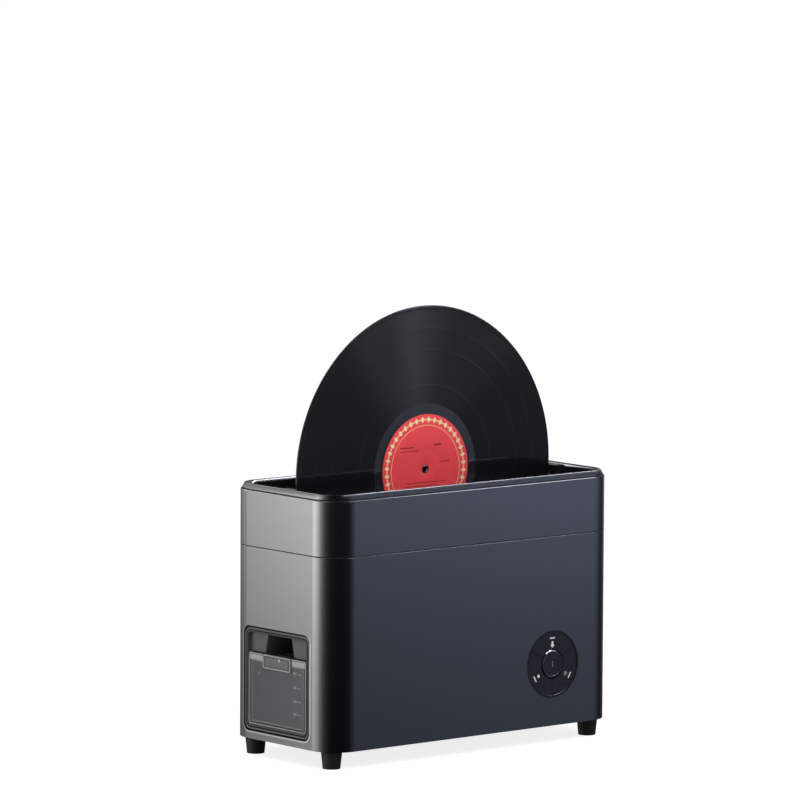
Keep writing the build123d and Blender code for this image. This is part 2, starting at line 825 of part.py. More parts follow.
# Blowers, air ducts and the filter at the back
def make_blower_housing(x):
    neck = blower_neck_width / 2
    housing = rod_y(blower_radius, x, blower_z, blower_front_y, frame_front_y)
    housing += block(x - neck, x + neck, blower_front_y, frame_front_y, blower_z, blower_top_z)
    front = blower_front_y + blower_wall
    back = frame_front_y - blower_wall
    housing -= rod_y(blower_radius - blower_wall, x, blower_z, front, back)
    inner_neck = neck - blower_wall
    housing -= block(x - inner_neck, x + inner_neck, front, back, blower_z, blower_top_z)
    housing -= rod_y(blower_inlet_radius, x, blower_z, back, frame_front_y)
    boss_end = front + blower_boss_height
    housing += rod_y(blower_boss_radius, x, blower_z, front, boss_end)
    return housing + rod_y(blower_pin_radius, x, blower_z, boss_end, boss_end + impeller_height)


def make_impeller(x):
    front = blower_front_y + blower_wall + blower_boss_height + slip_gap
    back = front + impeller_height
    hub = blower_pin_radius + running_gap + impeller_bore_wall
    wheel = rod_y(impeller_radius, x, blower_z, front, front + impeller_plate)
    wheel += rod_y(hub, x, blower_z, front, back)
    wheel -= rod_y(blower_pin_radius + running_gap, x, blower_z, front, back)
    blade_centre = impeller_radius - impeller_blade_length / 2
    blade = Box(impeller_blade_length, impeller_height, impeller_blade_thickness)
    for index in range(impeller_blades):
        turn = Rot(0, index * 360 / impeller_blades, 0)
        lean = Rot(0, impeller_blade_lean, 0)
        wheel += Pos(x, (front + back) / 2, blower_z) * turn * Pos(blade_centre, 0, 0) * lean * blade
    return wheel


def make_air_duct(x):
    half = blower_neck_width / 2
    duct = block(x - half, x + half, basin_side, frame_front_y, duct_low_z, duct_top_z)
    duct += block(x - half, x + half, blower_front_y, frame_front_y, blower_top_z, duct_top_z)
    half -= duct_wall
    back = frame_front_y - duct_wall
    duct -= block(x - half, x + half, basin_side, back, duct_low_z + duct_wall, duct_top_z - duct_wall)
    front = blower_front_y + duct_wall
    return duct - block(x - half, x + half, front, back, blower_top_z, duct_low_z + duct_wall)


def filter_outline(margin):
    return RectangleRounded(filter_width + 2 * margin, filter_height + 2 * margin, filter_corner + margin)


def make_filter_frame():
    frame = plate_y(filter_outline(filter_frame_rim), 0, blower_z, frame_front_y, inner_y)
    frame -= plate_y(filter_outline(0), 0, blower_z, pad_front_y, inner_y)
    for x in (-blower_offset_x, blower_offset_x):
        frame -= rod_y(blower_inlet_radius, x, blower_z, frame_front_y, pad_front_y)
    return frame


def make_filter_pad():
    return plate_y(filter_outline(-assembly_gap), 0, blower_z, pad_front_y, pad_back_y)


def make_rear_filter_cover():
    cover = plate_y(filter_outline(-slip_gap), 0, blower_z, inner_y, half_depth)
    count = int((filter_width - 2 * vent_margin) / vent_slot_pitch)
    first = -(count - 1) * vent_slot_pitch / 2
    for index in range(count):
        x = first + index * vent_slot_pitch
        slot = SlotOverall(vent_slot_height, vent_slot_width, rotation=90)
        cover -= plate_y(slot, x, blower_z, inner_y, half_depth)
    return cover


# Top cover: metal band, rim, black tray with the record slot, and the record guides
def make_top_cover_shell():
    low = seam_z + seam_gap / 2
    band = body_prism(0, low, cover_top_z) - body_prism(shell_wall, low, cover_top_z)
    ends = band.edges().group_by(Axis.Z)
    return chamfer((ends[0] + ends[-1]).filter_by(on_outer_wall), edge_chamfer)


def make_top_rim():
    rim = body_taper(rim_bottom_inset, rim_bottom_z, rim_top_inset, rim_top_z)
    rim -= body_prism(tray_wall_inset, rim_bottom_z, tray_rim_z)
    rim -= body_prism(tray_face_inset, tray_rim_z, tray_rim_z + rim_lip)
    return rim - body_taper(tray_face_inset, tray_rim_z + rim_lip, rim_top_inset + rim_land, rim_top_z)


def tray_floor_profile():
    edge = half_depth - tray_wall_inset
    slot = slot_width / 2
    under = tray_floor_thickness
    return Polygon(
        (-edge, tray_edge_z),
        (-slot, tray_slot_z),
        (slot, tray_slot_z),
        (edge, tray_edge_z),
        (edge, tray_edge_z - under),
        (slot, tray_slot_z - under),
        (-slot, tray_slot_z - under),
        (-edge, tray_edge_z - under),
        align=None,
    )


def make_top_tray():
    flange_low = rim_bottom_z - tray_flange
    tray = body_prism(shell_wall + assembly_gap, flange_low, rim_bottom_z)
    tray -= body_prism(tray_wall_inset, flange_low, rim_bottom_z)
    wall_low = tray_edge_z - tray_floor_thickness
    tray += body_prism(tray_wall_inset, wall_low, tray_rim_z)
    tray -= body_prism(tray_face_inset, wall_low, tray_rim_z)
    floor = plate_x(tray_floor_profile(), 0, 0, -half_width, half_width)
    tray += floor & body_prism(tray_wall_inset, skirt_low_z, rim_top_z)
    half = slot_width / 2
    skirt_end = slot_half + slot_skirt_wall
    skirt_side = half + slot_skirt_wall
    tray += block(-skirt_end, skirt_end, -skirt_side, skirt_side, skirt_low_z, tray_slot_z)
    return tray - block(-slot_half, slot_half, -half, half, skirt_low_z, tray_slot_z)


def make_record_guide(side, tray):
    x_low, x_high = sorted((side * slot_half, side * (half_width - tray_face_inset)))
    half = guide_width / 2
    post = block(x_low, x_high, -half, half, tray_slot_z, rim_top_z - guide_below_rim)
    return post - tray


# Record and its two labels
def make_record():
    half = record_thickness / 2
    disc = rod_y(record_radius, 0, record_z, -half, half)
    bead = record_bead_thickness / 2
    ring = rod_y(record_radius, 0, record_z, -bead, bead)
    disc += ring - rod_y(record_radius - record_bead_width, 0, record_z, -bead, bead)
    hub = record_hub_thickness / 2
    disc += rod_y(record_hub_radius, 0, record_z, -hub, hub)
    disc -= rod_y(spindle_hole_radius, 0, record_z, -hub, hub)
    circles = disc.edges().filter_by(GeomType.CIRCLE)
    return fillet(circles.filter_by(lambda edge: edge.radius > record_radius - slip_gap), record_edge_round)


def make_label(side):
    hub = record_hub_thickness / 2
    low, high = sorted((side * hub, side * (hub + label_thickness)))
    return rod_y(label_radius, 0, record_z, low, high) - rod_y(label_hole_radius, 0, record_z, low, high)


# Control panel: depths are measured in from the body's front face
def panel_rod(radius, near, far, u=0.0, v=0.0):
    return rod_y(radius, panel_x + u, panel_z + v, panel_face_y + near, panel_face_y + far)


def panel_orbit(radius, angle):
    return radius * cos(radians(angle)), radius * sin(radians(angle))


def make_panel_dish():
    dish = panel_rod(panel_radius, 0, panel_tube_depth)
    dish -= panel_rod(panel_radius - panel_ring, 0, floor_depth)
    dish -= panel_rod(panel_radius - panel_ring, floor_depth + panel_floor, panel_tube_depth)
    flange_back = shell_wall + panel_flange_thickness
    flange = panel_rod(panel_radius + panel_flange, shell_wall, flange_back)
    dish += flange - panel_rod(panel_radius, shell_wall, flange_back)
    hole = button_stem_radius + slip_gap
    dish -= panel_rod(hole, floor_depth, floor_depth + panel_floor)
    for angle in button_angles.values():
        u, v = panel_orbit(button_stem_orbit, angle)
        dish -= panel_rod(hole, floor_depth, floor_depth + panel_floor, u, v)
    return dish


def make_centre_ring():
    ring = panel_rod(centre_ring_radius, 0, floor_depth)
    front = ring.edges().group_by(Axis.Y)[0]
    ring = chamfer(front, centre_ring_chamfer)
    return ring - panel_rod(centre_ring_bore, 0, floor_depth)


def window_block(angle):
    u, v = panel_orbit(window_orbit, angle)
    bar = Box(window_width, window_depth, window_length)
    near = panel_face_y + button_recess
    return Pos(panel_x + u, near + window_depth / 2, panel_z + v) * Rot(0, -angle, 0) * bar


def make_sector_button(angle):
    near = button_recess
    far = near + button_thickness
    outer = panel_radius - panel_ring - button_gap
    sector = panel_rod(outer, near, far) - panel_rod(centre_ring_radius + button_gap, near, far)
    reach = 2 * outer
    wedge_half = 180 / len(button_angles)
    corner_a = panel_orbit(reach, angle - wedge_half)
    corner_m = panel_orbit(reach, angle)
    corner_b = panel_orbit(reach, angle + wedge_half)
    wedge = Polygon((0, 0), corner_a, corner_m, corner_b, align=None)
    sector &= plate_y(wedge, panel_x, panel_z, panel_face_y + near, panel_face_y + far)
    for edge_angle in (angle - wedge_half, angle + wedge_half):
        u, v = panel_orbit(outer / 2, edge_angle)
        cut = Rot(0, -edge_angle, 0) * Box(2 * outer, button_thickness, button_gap)
        sector -= Pos(panel_x + u, panel_face_y + (near + far) / 2, panel_z + v) * cut
    sector -= window_block(angle)
    u, v = panel_orbit(button_stem_orbit, angle)
    return sector + panel_rod(button_stem_radius, far, stem_end_depth, u, v)


def make_power_button():
    far = power_button_recess + power_button_thickness
    cap = panel_rod(button_bore, power_button_recess, far)
    return cap + panel_rod(button_stem_radius, far, stem_end_depth)


def make_control_board():
    return panel_rod(panel_radius, panel_tube_depth, panel_tube_depth + pcb_thickness)


def make_switch(u, v):
    body = Pos(panel_x + u, panel_face_y + panel_tube_depth - switch_height / 2, panel_z + v)
    return body * Box(switch_size, switch_height, switch_size) + panel_rod(
        switch_plunger_radius, switch_tip_depth, panel_tube_depth - switch_height, u, v
    )


def make_control_switches():
    places = [(0, 0)] + [panel_orbit(button_stem_orbit, angle) for angle in button_angles.values()]
    return group(make_switch(u, v) for u, v in places)


# Main board, its large components and the power socket
def board_corners():
    dx = board_length / 2 - board_corner_inset
    dy = board_width / 2 - board_corner_inset
    return [(board_centre_x + sx * dx, board_centre_y + sy * dy) for sx in (-1, 1) for sy in (-1, 1)]


def make_main_board():
    board = Pos(board_centre_x, board_centre_y, board_z + pcb_thickness / 2)
    return board * Box(board_length, board_width, pcb_thickness)


def on_board(x_share, y_share, height):
    x = board_centre_x + x_share * board_length / 2
    y = board_centre_y + y_share * board_width / 2
    return Pos(x, y, board_z + pcb_thickness + height / 2)


def make_board_components():
    transformer = on_board(*transformer_place, transformer_size[2]) * Box(*transformer_size)
    can = Cylinder(capacitor_radius, capacitor_height)
    capacitors = [on_board(*place, capacitor_height) * can for place in capacitor_places]
    length, width, height = heat_sink_size
    base = on_board(*heat_sink_place, heat_sink_base) * Box(length, width, heat_sink_base)
    pitch = (width - heat_sink_fin) / (heat_sink_fins - 1)
    for index in range(heat_sink_fins):
        offset_y = -width / 2 + heat_sink_fin / 2 + index * pitch
        base += on_board(*heat_sink_place, height) * Pos(0, offset_y, 0) * Box(length, heat_sink_fin, height)
    return group([transformer, base] + capacitors)


def make_dc_socket():
    length, depth, height = socket_body
    socket = Pos(socket_x, inner_y - depth / 2, socket_z) * Box(length, depth, height)
    socket += rod_y(socket_nose_radius, socket_x, socket_z, inner_y, half_depth)
    bore_y = half_depth - socket_bore_depth
    socket -= rod_y(socket_bore, socket_x, socket_z, bore_y, half_depth)
    return socket + rod_y(socket_pin_radius, socket_x, socket_z, bore_y, half_depth - socket_pin_recess)


sides = {"left": -1, "right": 1}
tray = make_top_tray()
shaft_back = bush_end_y + slip_gap + clip_thickness + shaft_end

parts = {
    "main_shell": make_main_shell(),
    "base_plate": make_base_plate(),
    "feet": group(make_foot(x, y) for x, y in foot_places),
    "base_screws": make_base_screws(),
    "chassis_posts": group(make_post(x, y) for x, y in foot_places),
    "chassis_deck": make_chassis_deck(),
    "deck_screws": make_deck_screws(),
    "wash_basin": make_wash_basin(),
    "basin_gasket": make_basin_gasket(),
    "drive_roller": make_roller(roller_x),
    "drive_shaft": make_shaft(roller_x, bracket_front_y - shaft_engagement),
    "drive_shaft_clip": make_clip(roller_x, 1),
    "shaft_coupler": make_shaft_coupler(),
    "idler_roller": make_roller(-roller_x),
    "idler_shaft": make_shaft(-roller_x, -shaft_back),
    "idler_shaft_clips": group(make_clip(-roller_x, side) for side in (-1, 1)),
    "roller_bushes": group(make_bush(x, side) for x in (-roller_x, roller_x) for side in (-1, 1)),
    "gearbox": make_gearbox(),
    "drive_motor": make_drive_motor(),
    "motor_bracket": make_motor_bracket(),
    "transducer_horns": group(make_horn(side) for side in (-1, 1)),
    "piezo_rings": group(make_piezo_rings(-1) + make_piezo_rings(1)),
    "back_masses": group(make_back_mass(side) for side in (-1, 1)),
    "transducer_studs": group(make_stud(side) for side in (-1, 1)),
    "drain_valve_body": make_valve_body(),
    "drain_plunger": make_plunger(),
    "drain_solenoid": make_solenoid(),
    "bay_bezel": make_bay_bezel(),
    "bay_liner": make_bay_liner(),
    "water_tank": make_water_tank(),
    "tank_lid": make_tank_lid(),
    "tank_filter": make_tank_filter(),
    "air_ducts": group(make_air_duct(side * blower_offset_x) for side in (-1, 1)),
    "filter_frame": make_filter_frame(),
    "filter_pad": make_filter_pad(),
    "rear_filter_cover": make_rear_filter_cover(),
    "top_cover_shell": make_top_cover_shell(),
    "top_rim": make_top_rim(),
    "top_tray": tray,
    "record_guides": group(make_record_guide(side, tray) for side in (-1, 1)),
    "record": make_record(),
    "record_labels": group(make_label(side) for side in (-1, 1)),
    "panel_dish": make_panel_dish(),
    "centre_ring": make_centre_ring(),
    "power_button": make_power_button(),
    "control_board": make_control_board(),
    "control_switches": make_control_switches(),
    "main_board": make_main_board(),
    "board_components": make_board_components(),
    "dc_socket": make_dc_socket(),
}
for name, side in sides.items():
    parts["blower_housing_" + name] = make_blower_housing(side * blower_offset_x)
    parts["impeller_" + name] = make_impeller(side * blower_offset_x)
for name, angle in button_angles.items():
    parts[name + "_button"] = make_sector_button(angle)
    parts[name + "_window"] = window_block(angle)

for name, shape in parts.items():
    export_step(shape, "parts/" + name + ".step")
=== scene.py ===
import math

import bpy
import numpy as np
from mathutils import Matrix, Vector


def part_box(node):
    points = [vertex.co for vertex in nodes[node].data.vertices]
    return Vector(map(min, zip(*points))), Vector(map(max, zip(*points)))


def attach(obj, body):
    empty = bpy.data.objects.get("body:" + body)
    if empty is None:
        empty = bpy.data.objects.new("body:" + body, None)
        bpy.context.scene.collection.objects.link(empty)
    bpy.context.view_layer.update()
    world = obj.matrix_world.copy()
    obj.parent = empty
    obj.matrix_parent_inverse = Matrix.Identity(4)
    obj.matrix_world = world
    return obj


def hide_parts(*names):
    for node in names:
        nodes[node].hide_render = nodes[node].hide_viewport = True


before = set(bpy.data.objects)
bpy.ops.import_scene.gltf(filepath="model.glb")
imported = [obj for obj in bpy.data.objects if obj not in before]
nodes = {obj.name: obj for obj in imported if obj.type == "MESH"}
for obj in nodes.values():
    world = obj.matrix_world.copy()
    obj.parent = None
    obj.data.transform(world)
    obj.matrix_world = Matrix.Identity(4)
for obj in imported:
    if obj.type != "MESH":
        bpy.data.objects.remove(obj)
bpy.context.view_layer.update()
scene = bpy.context.scene
scene.view_settings.view_transform = "Standard"
mm = 0.001
print("frame loaded:", len(nodes), "nodes")


# camera
view = {
    "lens": 281.5,          # mm
    "sensor": 36,
    "target": (-0.0294, 0.0, 0.3199),
    "distance": 5.7064,
    "azimuth": -39.805,     # degrees from straight in front
    "elevation": 6.314,
    "roll": 0.285,
}


def makeCamera(v):
    a, e, r = (math.radians(v[k]) for k in ("azimuth", "elevation", "roll"))
    back = Vector((math.sin(a) * math.cos(e), -math.cos(a) * math.cos(e), math.sin(e)))
    right = (-back).cross(Vector((0, 0, 1))).normalized()
    up = right.cross(-back)
    right, up = math.cos(r) * right + math.sin(r) * up, math.cos(r) * up - math.sin(r) * right
    data = bpy.data.cameras.new("camera")
    data.lens = v["lens"]
    data.sensor_width = v["sensor"]
    data.clip_end = 200
    camera = bpy.data.objects.new("camera", data)
    place = Matrix((right, up, back)).transposed().to_4x4()
    place.translation = Vector(v["target"]) + back * v["distance"]
    camera.matrix_world = place
    scene.collection.objects.link(camera)
    scene.camera = camera


makeCamera(view)
print("camera placed")


# mesh helpers
def meshFrom(name, verts, faces, smooth=True):
    mesh = bpy.data.meshes.new(name)
    corners = [list(map(int, face)) for face in faces]
    mesh.from_pydata(np.asarray(verts, float).reshape(-1, 3).tolist(), [], corners)
    mesh.validate()
    mesh.polygons.foreach_set("use_smooth", np.full(len(mesh.polygons), smooth))
    piece = bpy.data.objects.new(name, mesh)
    scene.collection.objects.link(piece)
    return piece


# quads of a grid of points[u, v]; closeU and closeV join the last row to the first
def gridFaces(nu, nv, closeU=False, closeV=False):
    rows = np.arange(nu if closeU else nu - 1)
    columns = np.arange(nv if closeV else nv - 1)
    i, j = np.meshgrid(rows, columns, indexing="ij")
    i2, j2 = (i + 1) % nu, (j + 1) % nv
    return np.stack([i * nv + j, i2 * nv + j, i2 * nv + j2, i * nv + j2], -1).reshape(-1, 4)


# angles of a whole turn in equal steps
def wholeTurn(count):
    return np.arange(count) * 2 * math.pi / count


# a profile of (radius, along y) turned about an axis along y: x = cx + r cos(u), z = cz + r sin(u)
def turnedPoints(u, radius, along, centre=(0, 0)):
    return np.stack([centre[0] + np.cos(u)[:, None] * radius,
                     np.broadcast_to(along, (len(u), len(radius))),
                     centre[1] + np.sin(u)[:, None] * radius], -1)


# points (x, y) of a grid with their height added, one for each column
def raised(flat, height):
    return np.concatenate([flat, np.broadcast_to(height, flat.shape[:2])[..., None]], -1)


# triangles from the last point of every row of a grid to one pole
def poleFaces(count, across, pole):
    i = np.arange(count)
    return np.stack([np.full(count, pole), i * across, (i + 1) % count * across], -1)


# the vertex of every corner of a mesh's faces, in order
def cornerVertices(mesh):
    loops = np.zeros(len(mesh.loops), np.int64)
    mesh.loops.foreach_get("vertex_index", loops)
    return loops


def gridPiece(name, points, closeU=False, closeV=False):
    return meshFrom(name, points, gridFaces(*points.shape[:2], closeU, closeV))


# node helpers
def newMaterial(name):
    mat = bpy.data.materials.new(name)
    mat.use_nodes = True
    return mat, mat.node_tree, mat.node_tree.nodes["Principled BSDF"]


def setSockets(node, values):
    for key, value in values.items():
        node.inputs[key].default_value = value


def addNode(tree, kind, values=None, **settings):
    node = tree.nodes.new("ShaderNode" + kind)
    for key, value in settings.items():
        setattr(node, key, value)
    setSockets(node, values or {})
    return node


def put(tree, value, socket):
    if isinstance(value, bpy.types.NodeSocket):
        tree.links.new(value, socket)
    else:
        socket.default_value = value


def calc(tree, operation, a, b=0.0):
    node = addNode(tree, "Math", operation=operation)
    put(tree, a, node.inputs[0])
    put(tree, b, node.inputs[1])
    return node.outputs[0]


# a value's distance from a centre, and 1 where all the tests hold
def farFrom(tree, value, centre):
    return calc(tree, "ABSOLUTE", calc(tree, "SUBTRACT", value, centre))


def allOf(tree, first, *others):
    for other in others:
        first = calc(tree, "MULTIPLY", first, other)
    return first


def objectPlace(tree, centre=(0, 0, 0), scale=(1, 1, 1)):
    place = addNode(tree, "TexCoord")
    mapping = addNode(tree, "Mapping", vector_type="TEXTURE")
    setSockets(mapping, {"Location": centre, "Scale": scale})
    put(tree, place.outputs["Object"], mapping.inputs["Vector"])
    return mapping.outputs["Vector"]


# the three parts of a place
def split(tree, place):
    parts = addNode(tree, "SeparateXYZ")
    put(tree, place, parts.inputs[0])
    return parts.outputs


def noise(tree, place, size, detail):
    node = addNode(tree, "TexNoise", {"Scale": 1 / size, "Detail": detail})
    put(tree, place, node.inputs["Vector"])
    return node.outputs["Fac"]


def spread(tree, value, low, high, inLow=0.3, inHigh=0.7):
    node = addNode(tree, "MapRange")
    put(tree, value, node.inputs["Value"])
    setSockets(node, {"From Min": inLow, "From Max": inHigh, "To Min": low, "To Max": high})
    return node.outputs["Result"]


# a colour darker and lighter by two factors
def shades(base, low, high):
    return [(*(c * k for c in base), 1) for k in (low, high)]


def mixColour(tree, factor, a, b):
    node = addNode(tree, "Mix", data_type="RGBA")
    put(tree, factor, node.inputs["Factor"])
    put(tree, a, node.inputs["A"])
    put(tree, b, node.inputs["B"])
    return node.outputs["Result"]


def bump(tree, shader, height, distance, strength=1.0):
    node = addNode(tree, "Bump", {"Strength": strength, "Distance": distance})
    put(tree, height, node.inputs["Height"])
    put(tree, node.outputs["Normal"], shader.inputs["Normal"])


# a shader's colour and roughness, each a value or a socket
def paint(tree, shader, colour, roughness):
    put(tree, colour, shader.inputs["Base Color"])
    put(tree, roughness, shader.inputs["Roughness"])


def ramp(tree, value, stops, interpolation="LINEAR"):
    node = addNode(tree, "ValToRGB")
    put(tree, value, node.inputs["Fac"])
    bar = node.color_ramp
    bar.interpolation = interpolation
    for index, (position, colour) in enumerate(stops):
        stop = bar.elements[index] if index < 2 else bar.elements.new(position)
        stop.position = position
        stop.color = (*colour, 1)
    return node.outputs["Color"]


# finishes
metal = {
    "base": (0.262, 0.268, 0.288),
    # colour of the painted highlight round the bay's cut-out, standing for a polished edge
    "paintedEdgeHighlight": (0.54, 0.55, 0.575),
    "joint": (0.01, 0.01, 0.01),
    "roughness": 0.20,
    "roughnessSpread": 0.03,
    "grain": 0.25 * mm,
    "grainDepth": 0.002 * mm,
    "mottle": 12 * mm,
}
bay = {
    "y": 4.15 * mm,
    "z": 71.85 * mm,
    "width": 84.1 * mm,
    "height": 84.7 * mm,
    "ring": 5.0 * mm,
    "corner": 8.0 * mm,
    "joint": {"y": 0.5 * mm, "z": 0.85 * mm},     # black joint round the cut-out
    "jointSpare": 0.05 * mm,
    "paintedEdgeHighlight": 1.6 * mm,                            # width of the painted highlight of the polished edge round the joint
    "paintedHighlightTop": 112 * mm,                         # where the painted highlight starts to fade upwards
    "paintedHighlightFade": 8 * mm,
    "leftSide": -0.168,                           # metal beyond this x belongs to the left side
}


# distance outside a rounded rectangle in y and z: |max(q, 0)| - r with q = |p - centre| - half + r
def awayFromBay(tree, y, z):
    halfY = bay["width"] / 2 + bay["ring"] + bay["joint"]["y"]
    halfZ = bay["height"] / 2 + bay["ring"] + bay["joint"]["z"]
    squares = []
    for value, centre, half in ((y, bay["y"], halfY), (z, bay["z"], halfZ)):
        over = calc(tree, "SUBTRACT", farFrom(tree, value, centre), half - bay["corner"])
        over = calc(tree, "MAXIMUM", over, 0.0)
        squares.append(calc(tree, "MULTIPLY", over, over))
    return calc(tree, "SUBTRACT", calc(tree, "SQRT", calc(tree, "ADD", *squares)), bay["corner"])


def bodyMetal():
    mat, tree, shader = newMaterial("bodyMetal")
    place = objectPlace(tree)
    setSockets(shader, {"Metallic": 1.0})
    x, y, z = split(tree, place)
    away = awayFromBay(tree, y, z)
    onLeftSide = calc(tree, "LESS_THAN", x, bay["leftSide"])
    inJoint = allOf(tree, onLeftSide, calc(tree, "LESS_THAN", away, bay["jointSpare"]))
    fade = spread(tree, z, 1.0, 0.0, bay["paintedHighlightTop"], bay["paintedHighlightTop"] + bay["paintedHighlightFade"])
    onPaintedHighlight = allOf(tree, onLeftSide, calc(tree, "LESS_THAN", away, bay["paintedEdgeHighlight"]), fade)
    mottle = noise(tree, place, metal["mottle"], 2)
    colour = mixColour(tree, mottle, *shades(metal["base"], 0.97, 1.03))
    # painted highlight: the left side is painted lighter in a band round the joint, fading out upwards
    colour = mixColour(tree, onPaintedHighlight, colour, (*metal["paintedEdgeHighlight"], 1))
    colour = mixColour(tree, inJoint, colour, (*metal["joint"], 1))
    grain = noise(tree, place, metal["grain"], 2)
    least = metal["roughness"] - metal["roughnessSpread"]
    most = metal["roughness"] + metal["roughnessSpread"]
    paint(tree, shader, colour, spread(tree, grain, least, most))
    bump(tree, shader, grain, metal["grainDepth"], 0.5)
    return mat


def plainMetal(name, base, roughness, grain, streak=(1, 1, 1)):
    mat, tree, shader = newMaterial(name)
    place = objectPlace(tree, scale=streak)
    setSockets(shader, {"Metallic": 1.0})
    fine = noise(tree, place, grain * mm, 2)
    paint(tree, shader, (*base, 1), spread(tree, fine, roughness * 0.8, roughness * 1.25))
    bump(tree, shader, fine, 0.003 * mm, 0.4)
    return mat


def mouldedPlastic(name, base, roughness, grain, depth, ior=1.5):
    mat, tree, shader = newMaterial(name)
    place = objectPlace(tree)
    wide = noise(tree, place, 25 * mm, 2)
    colour = mixColour(tree, wide, *shades(base, 0.92, 1.08))
    fine = noise(tree, place, grain * mm, 3)
    paint(tree, shader, colour, spread(tree, fine, roughness * 0.85, roughness * 1.15))
    setSockets(shader, {"IOR": ior})
    bump(tree, shader, fine, depth * mm)
    return mat


def smokyPlastic():
    mat, tree, shader = newMaterial("smokyPlastic")
    place = objectPlace(tree)
    fine = noise(tree, place, 6 * mm, 2)
    paint(tree, shader, (0.135, 0.137, 0.165, 1), spread(tree, fine, 0.07, 0.12))
    setSockets(shader, {"Transmission Weight": 0.5, "IOR": 1.5})
    bump(tree, shader, fine, 0.01 * mm, 0.3)
    return mat


# the liner's hollow behind its front face is painted darker than the greyer face: painted shade in the
# recess
def linerPlastic():
    mat, tree, shader = newMaterial("bayPlastic")
    place = objectPlace(tree)
    faceDepth = 0.3 * mm
    front = calc(tree, "LESS_THAN", split(tree, place)[0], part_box("bay_liner")[0].x + faceDepth)
    wide = noise(tree, place, 20 * mm, 2)
    # painted shade: the surfaces behind the face get the darker colour
    inside = mixColour(tree, wide, (0.050, 0.050, 0.054, 1), (0.062, 0.062, 0.067, 1))
    face = mixColour(tree, wide, (0.066, 0.067, 0.073, 1), (0.078, 0.079, 0.086, 1))
    fine = noise(tree, place, 0.4 * mm, 3)
    paint(tree, shader, mixColour(tree, front, inside, face), spread(tree, fine, 0.34, 0.42))
    bump(tree, shader, fine, 0.01 * mm)
    return mat


def foamPad():
    mat, tree, shader = newMaterial("foamPad")
    place = objectPlace(tree)
    cells = addNode(tree, "TexVoronoi", {"Scale": 1 / (1.1 * mm)})
    put(tree, place, cells.inputs["Vector"])
    depth = cells.outputs["Distance"]
    # painted shade: the cells' pits are painted darker than their walls, along with the bump
    colour = ramp(tree, depth, [(0.0, (0.012, 0.012, 0.013)), (0.6, (0.06, 0.06, 0.063))])
    paint(tree, shader, colour, 0.9)
    bump(tree, shader, depth, 0.4 * mm)
    return mat


def circuitBoard():
    mat, tree, shader = newMaterial("circuitBoard")
    place = objectPlace(tree)
    lines = addNode(tree, "TexBrick", {
        "Scale": 1 / (14 * mm),
        "Mortar Size": 0.03,
        "Mortar Smooth": 0.1,
        "Color1": (0.01, 0.07, 0.03, 1),
        "Color2": (0.012, 0.085, 0.035, 1),
        "Mortar": (0.03, 0.16, 0.07, 1),
    })
    put(tree, place, lines.inputs["Vector"])
    paint(tree, shader, lines.outputs["Color"], 0.35)
    bump(tree, shader, lines.outputs["Fac"], 0.04 * mm)
    return mat


def lampWindow():
    mat, tree, shader = newMaterial("lampWindow")
    place = objectPlace(tree)
    fine = noise(tree, place, 0.4 * mm, 1)
    colour = mixColour(tree, fine, (0.40, 0.42, 0.46, 1), (0.48, 0.50, 0.54, 1))
    paint(tree, shader, colour, 0.25)
    setSockets(shader, {"Emission Color": (0.8, 0.85, 0.95, 1), "Emission Strength": 0.1})
    return mat


# colour, roughness, grain and its depth in mm, and refraction where it differs
plastics = {
    "blackGloss": ((0.008, 0.008, 0.009), 0.10, 0.8, 0.003),
    "buttonGloss": ((0.011, 0.013, 0.019), 0.12, 0.6, 0.003),
    "greyPlastic": ((0.040, 0.041, 0.046), 0.34, 0.3, 0.01),
    "blackPlastic": ((0.02, 0.02, 0.022), 0.45, 0.35, 0.03),
    "jointBlack": ((0.005, 0.005, 0.005), 0.8, 0.4, 0.01, 1.2),
    "tankShade": ((0.022, 0.022, 0.026), 0.22, 0.4, 0.005, 1.4),
    # light greys for the tank's moulded marks, also used as painted light along its edges, wall lines and
    # lip bars
    "marksAndPaintedEdgeLight": ((0.34, 0.34, 0.355), 0.35, 0.3, 0.01),
    "faintMarksAndPaintedEdgeLight": ((0.17, 0.17, 0.182), 0.35, 0.3, 0.01),
    "latchGrey": ((0.11, 0.11, 0.122), 0.30, 0.3, 0.01),
    "print": ((0.70, 0.72, 0.76), 0.45, 0.2, 0.004),
    "greyPrint": ((0.20, 0.20, 0.22), 0.45, 0.2, 0.004),
    "ceramic": ((0.55, 0.52, 0.46), 0.5, 0.3, 0.01),
    "rubber": ((0.012, 0.012, 0.012), 0.6, 0.25, 0.03),
    "boardParts": ((0.03, 0.03, 0.035), 0.5, 0.4, 0.02),
}
# colour, roughness, grain in mm, and how the grain is stretched where it is
metals = {
    "trimMetal": ((0.20, 0.205, 0.22), 0.22, 0.15),
    "polished": ((0.42, 0.43, 0.46), 0.14, 0.2),
    "steel": ((0.55, 0.55, 0.56), 0.25, 0.12),
    "basinSteel": ((0.50, 0.50, 0.51), 0.30, 0.2, (1, 1, 0.05)),
    "hornMetal": ((0.70, 0.70, 0.71), 0.35, 0.15),
    "bronze": ((0.55, 0.36, 0.16), 0.35, 0.15),
}
finishes = {name: mouldedPlastic(name, *values) for name, values in plastics.items()}
finishes.update((name, plainMetal(name, *values)) for name, values in metals.items())
finishes.update(bodyMetal=bodyMetal(), bayPlastic=linerPlastic(), smokyPlastic=smokyPlastic(),
                foamPad=foamPad(), circuitBoard=circuitBoard(), lampWindow=lampWindow())

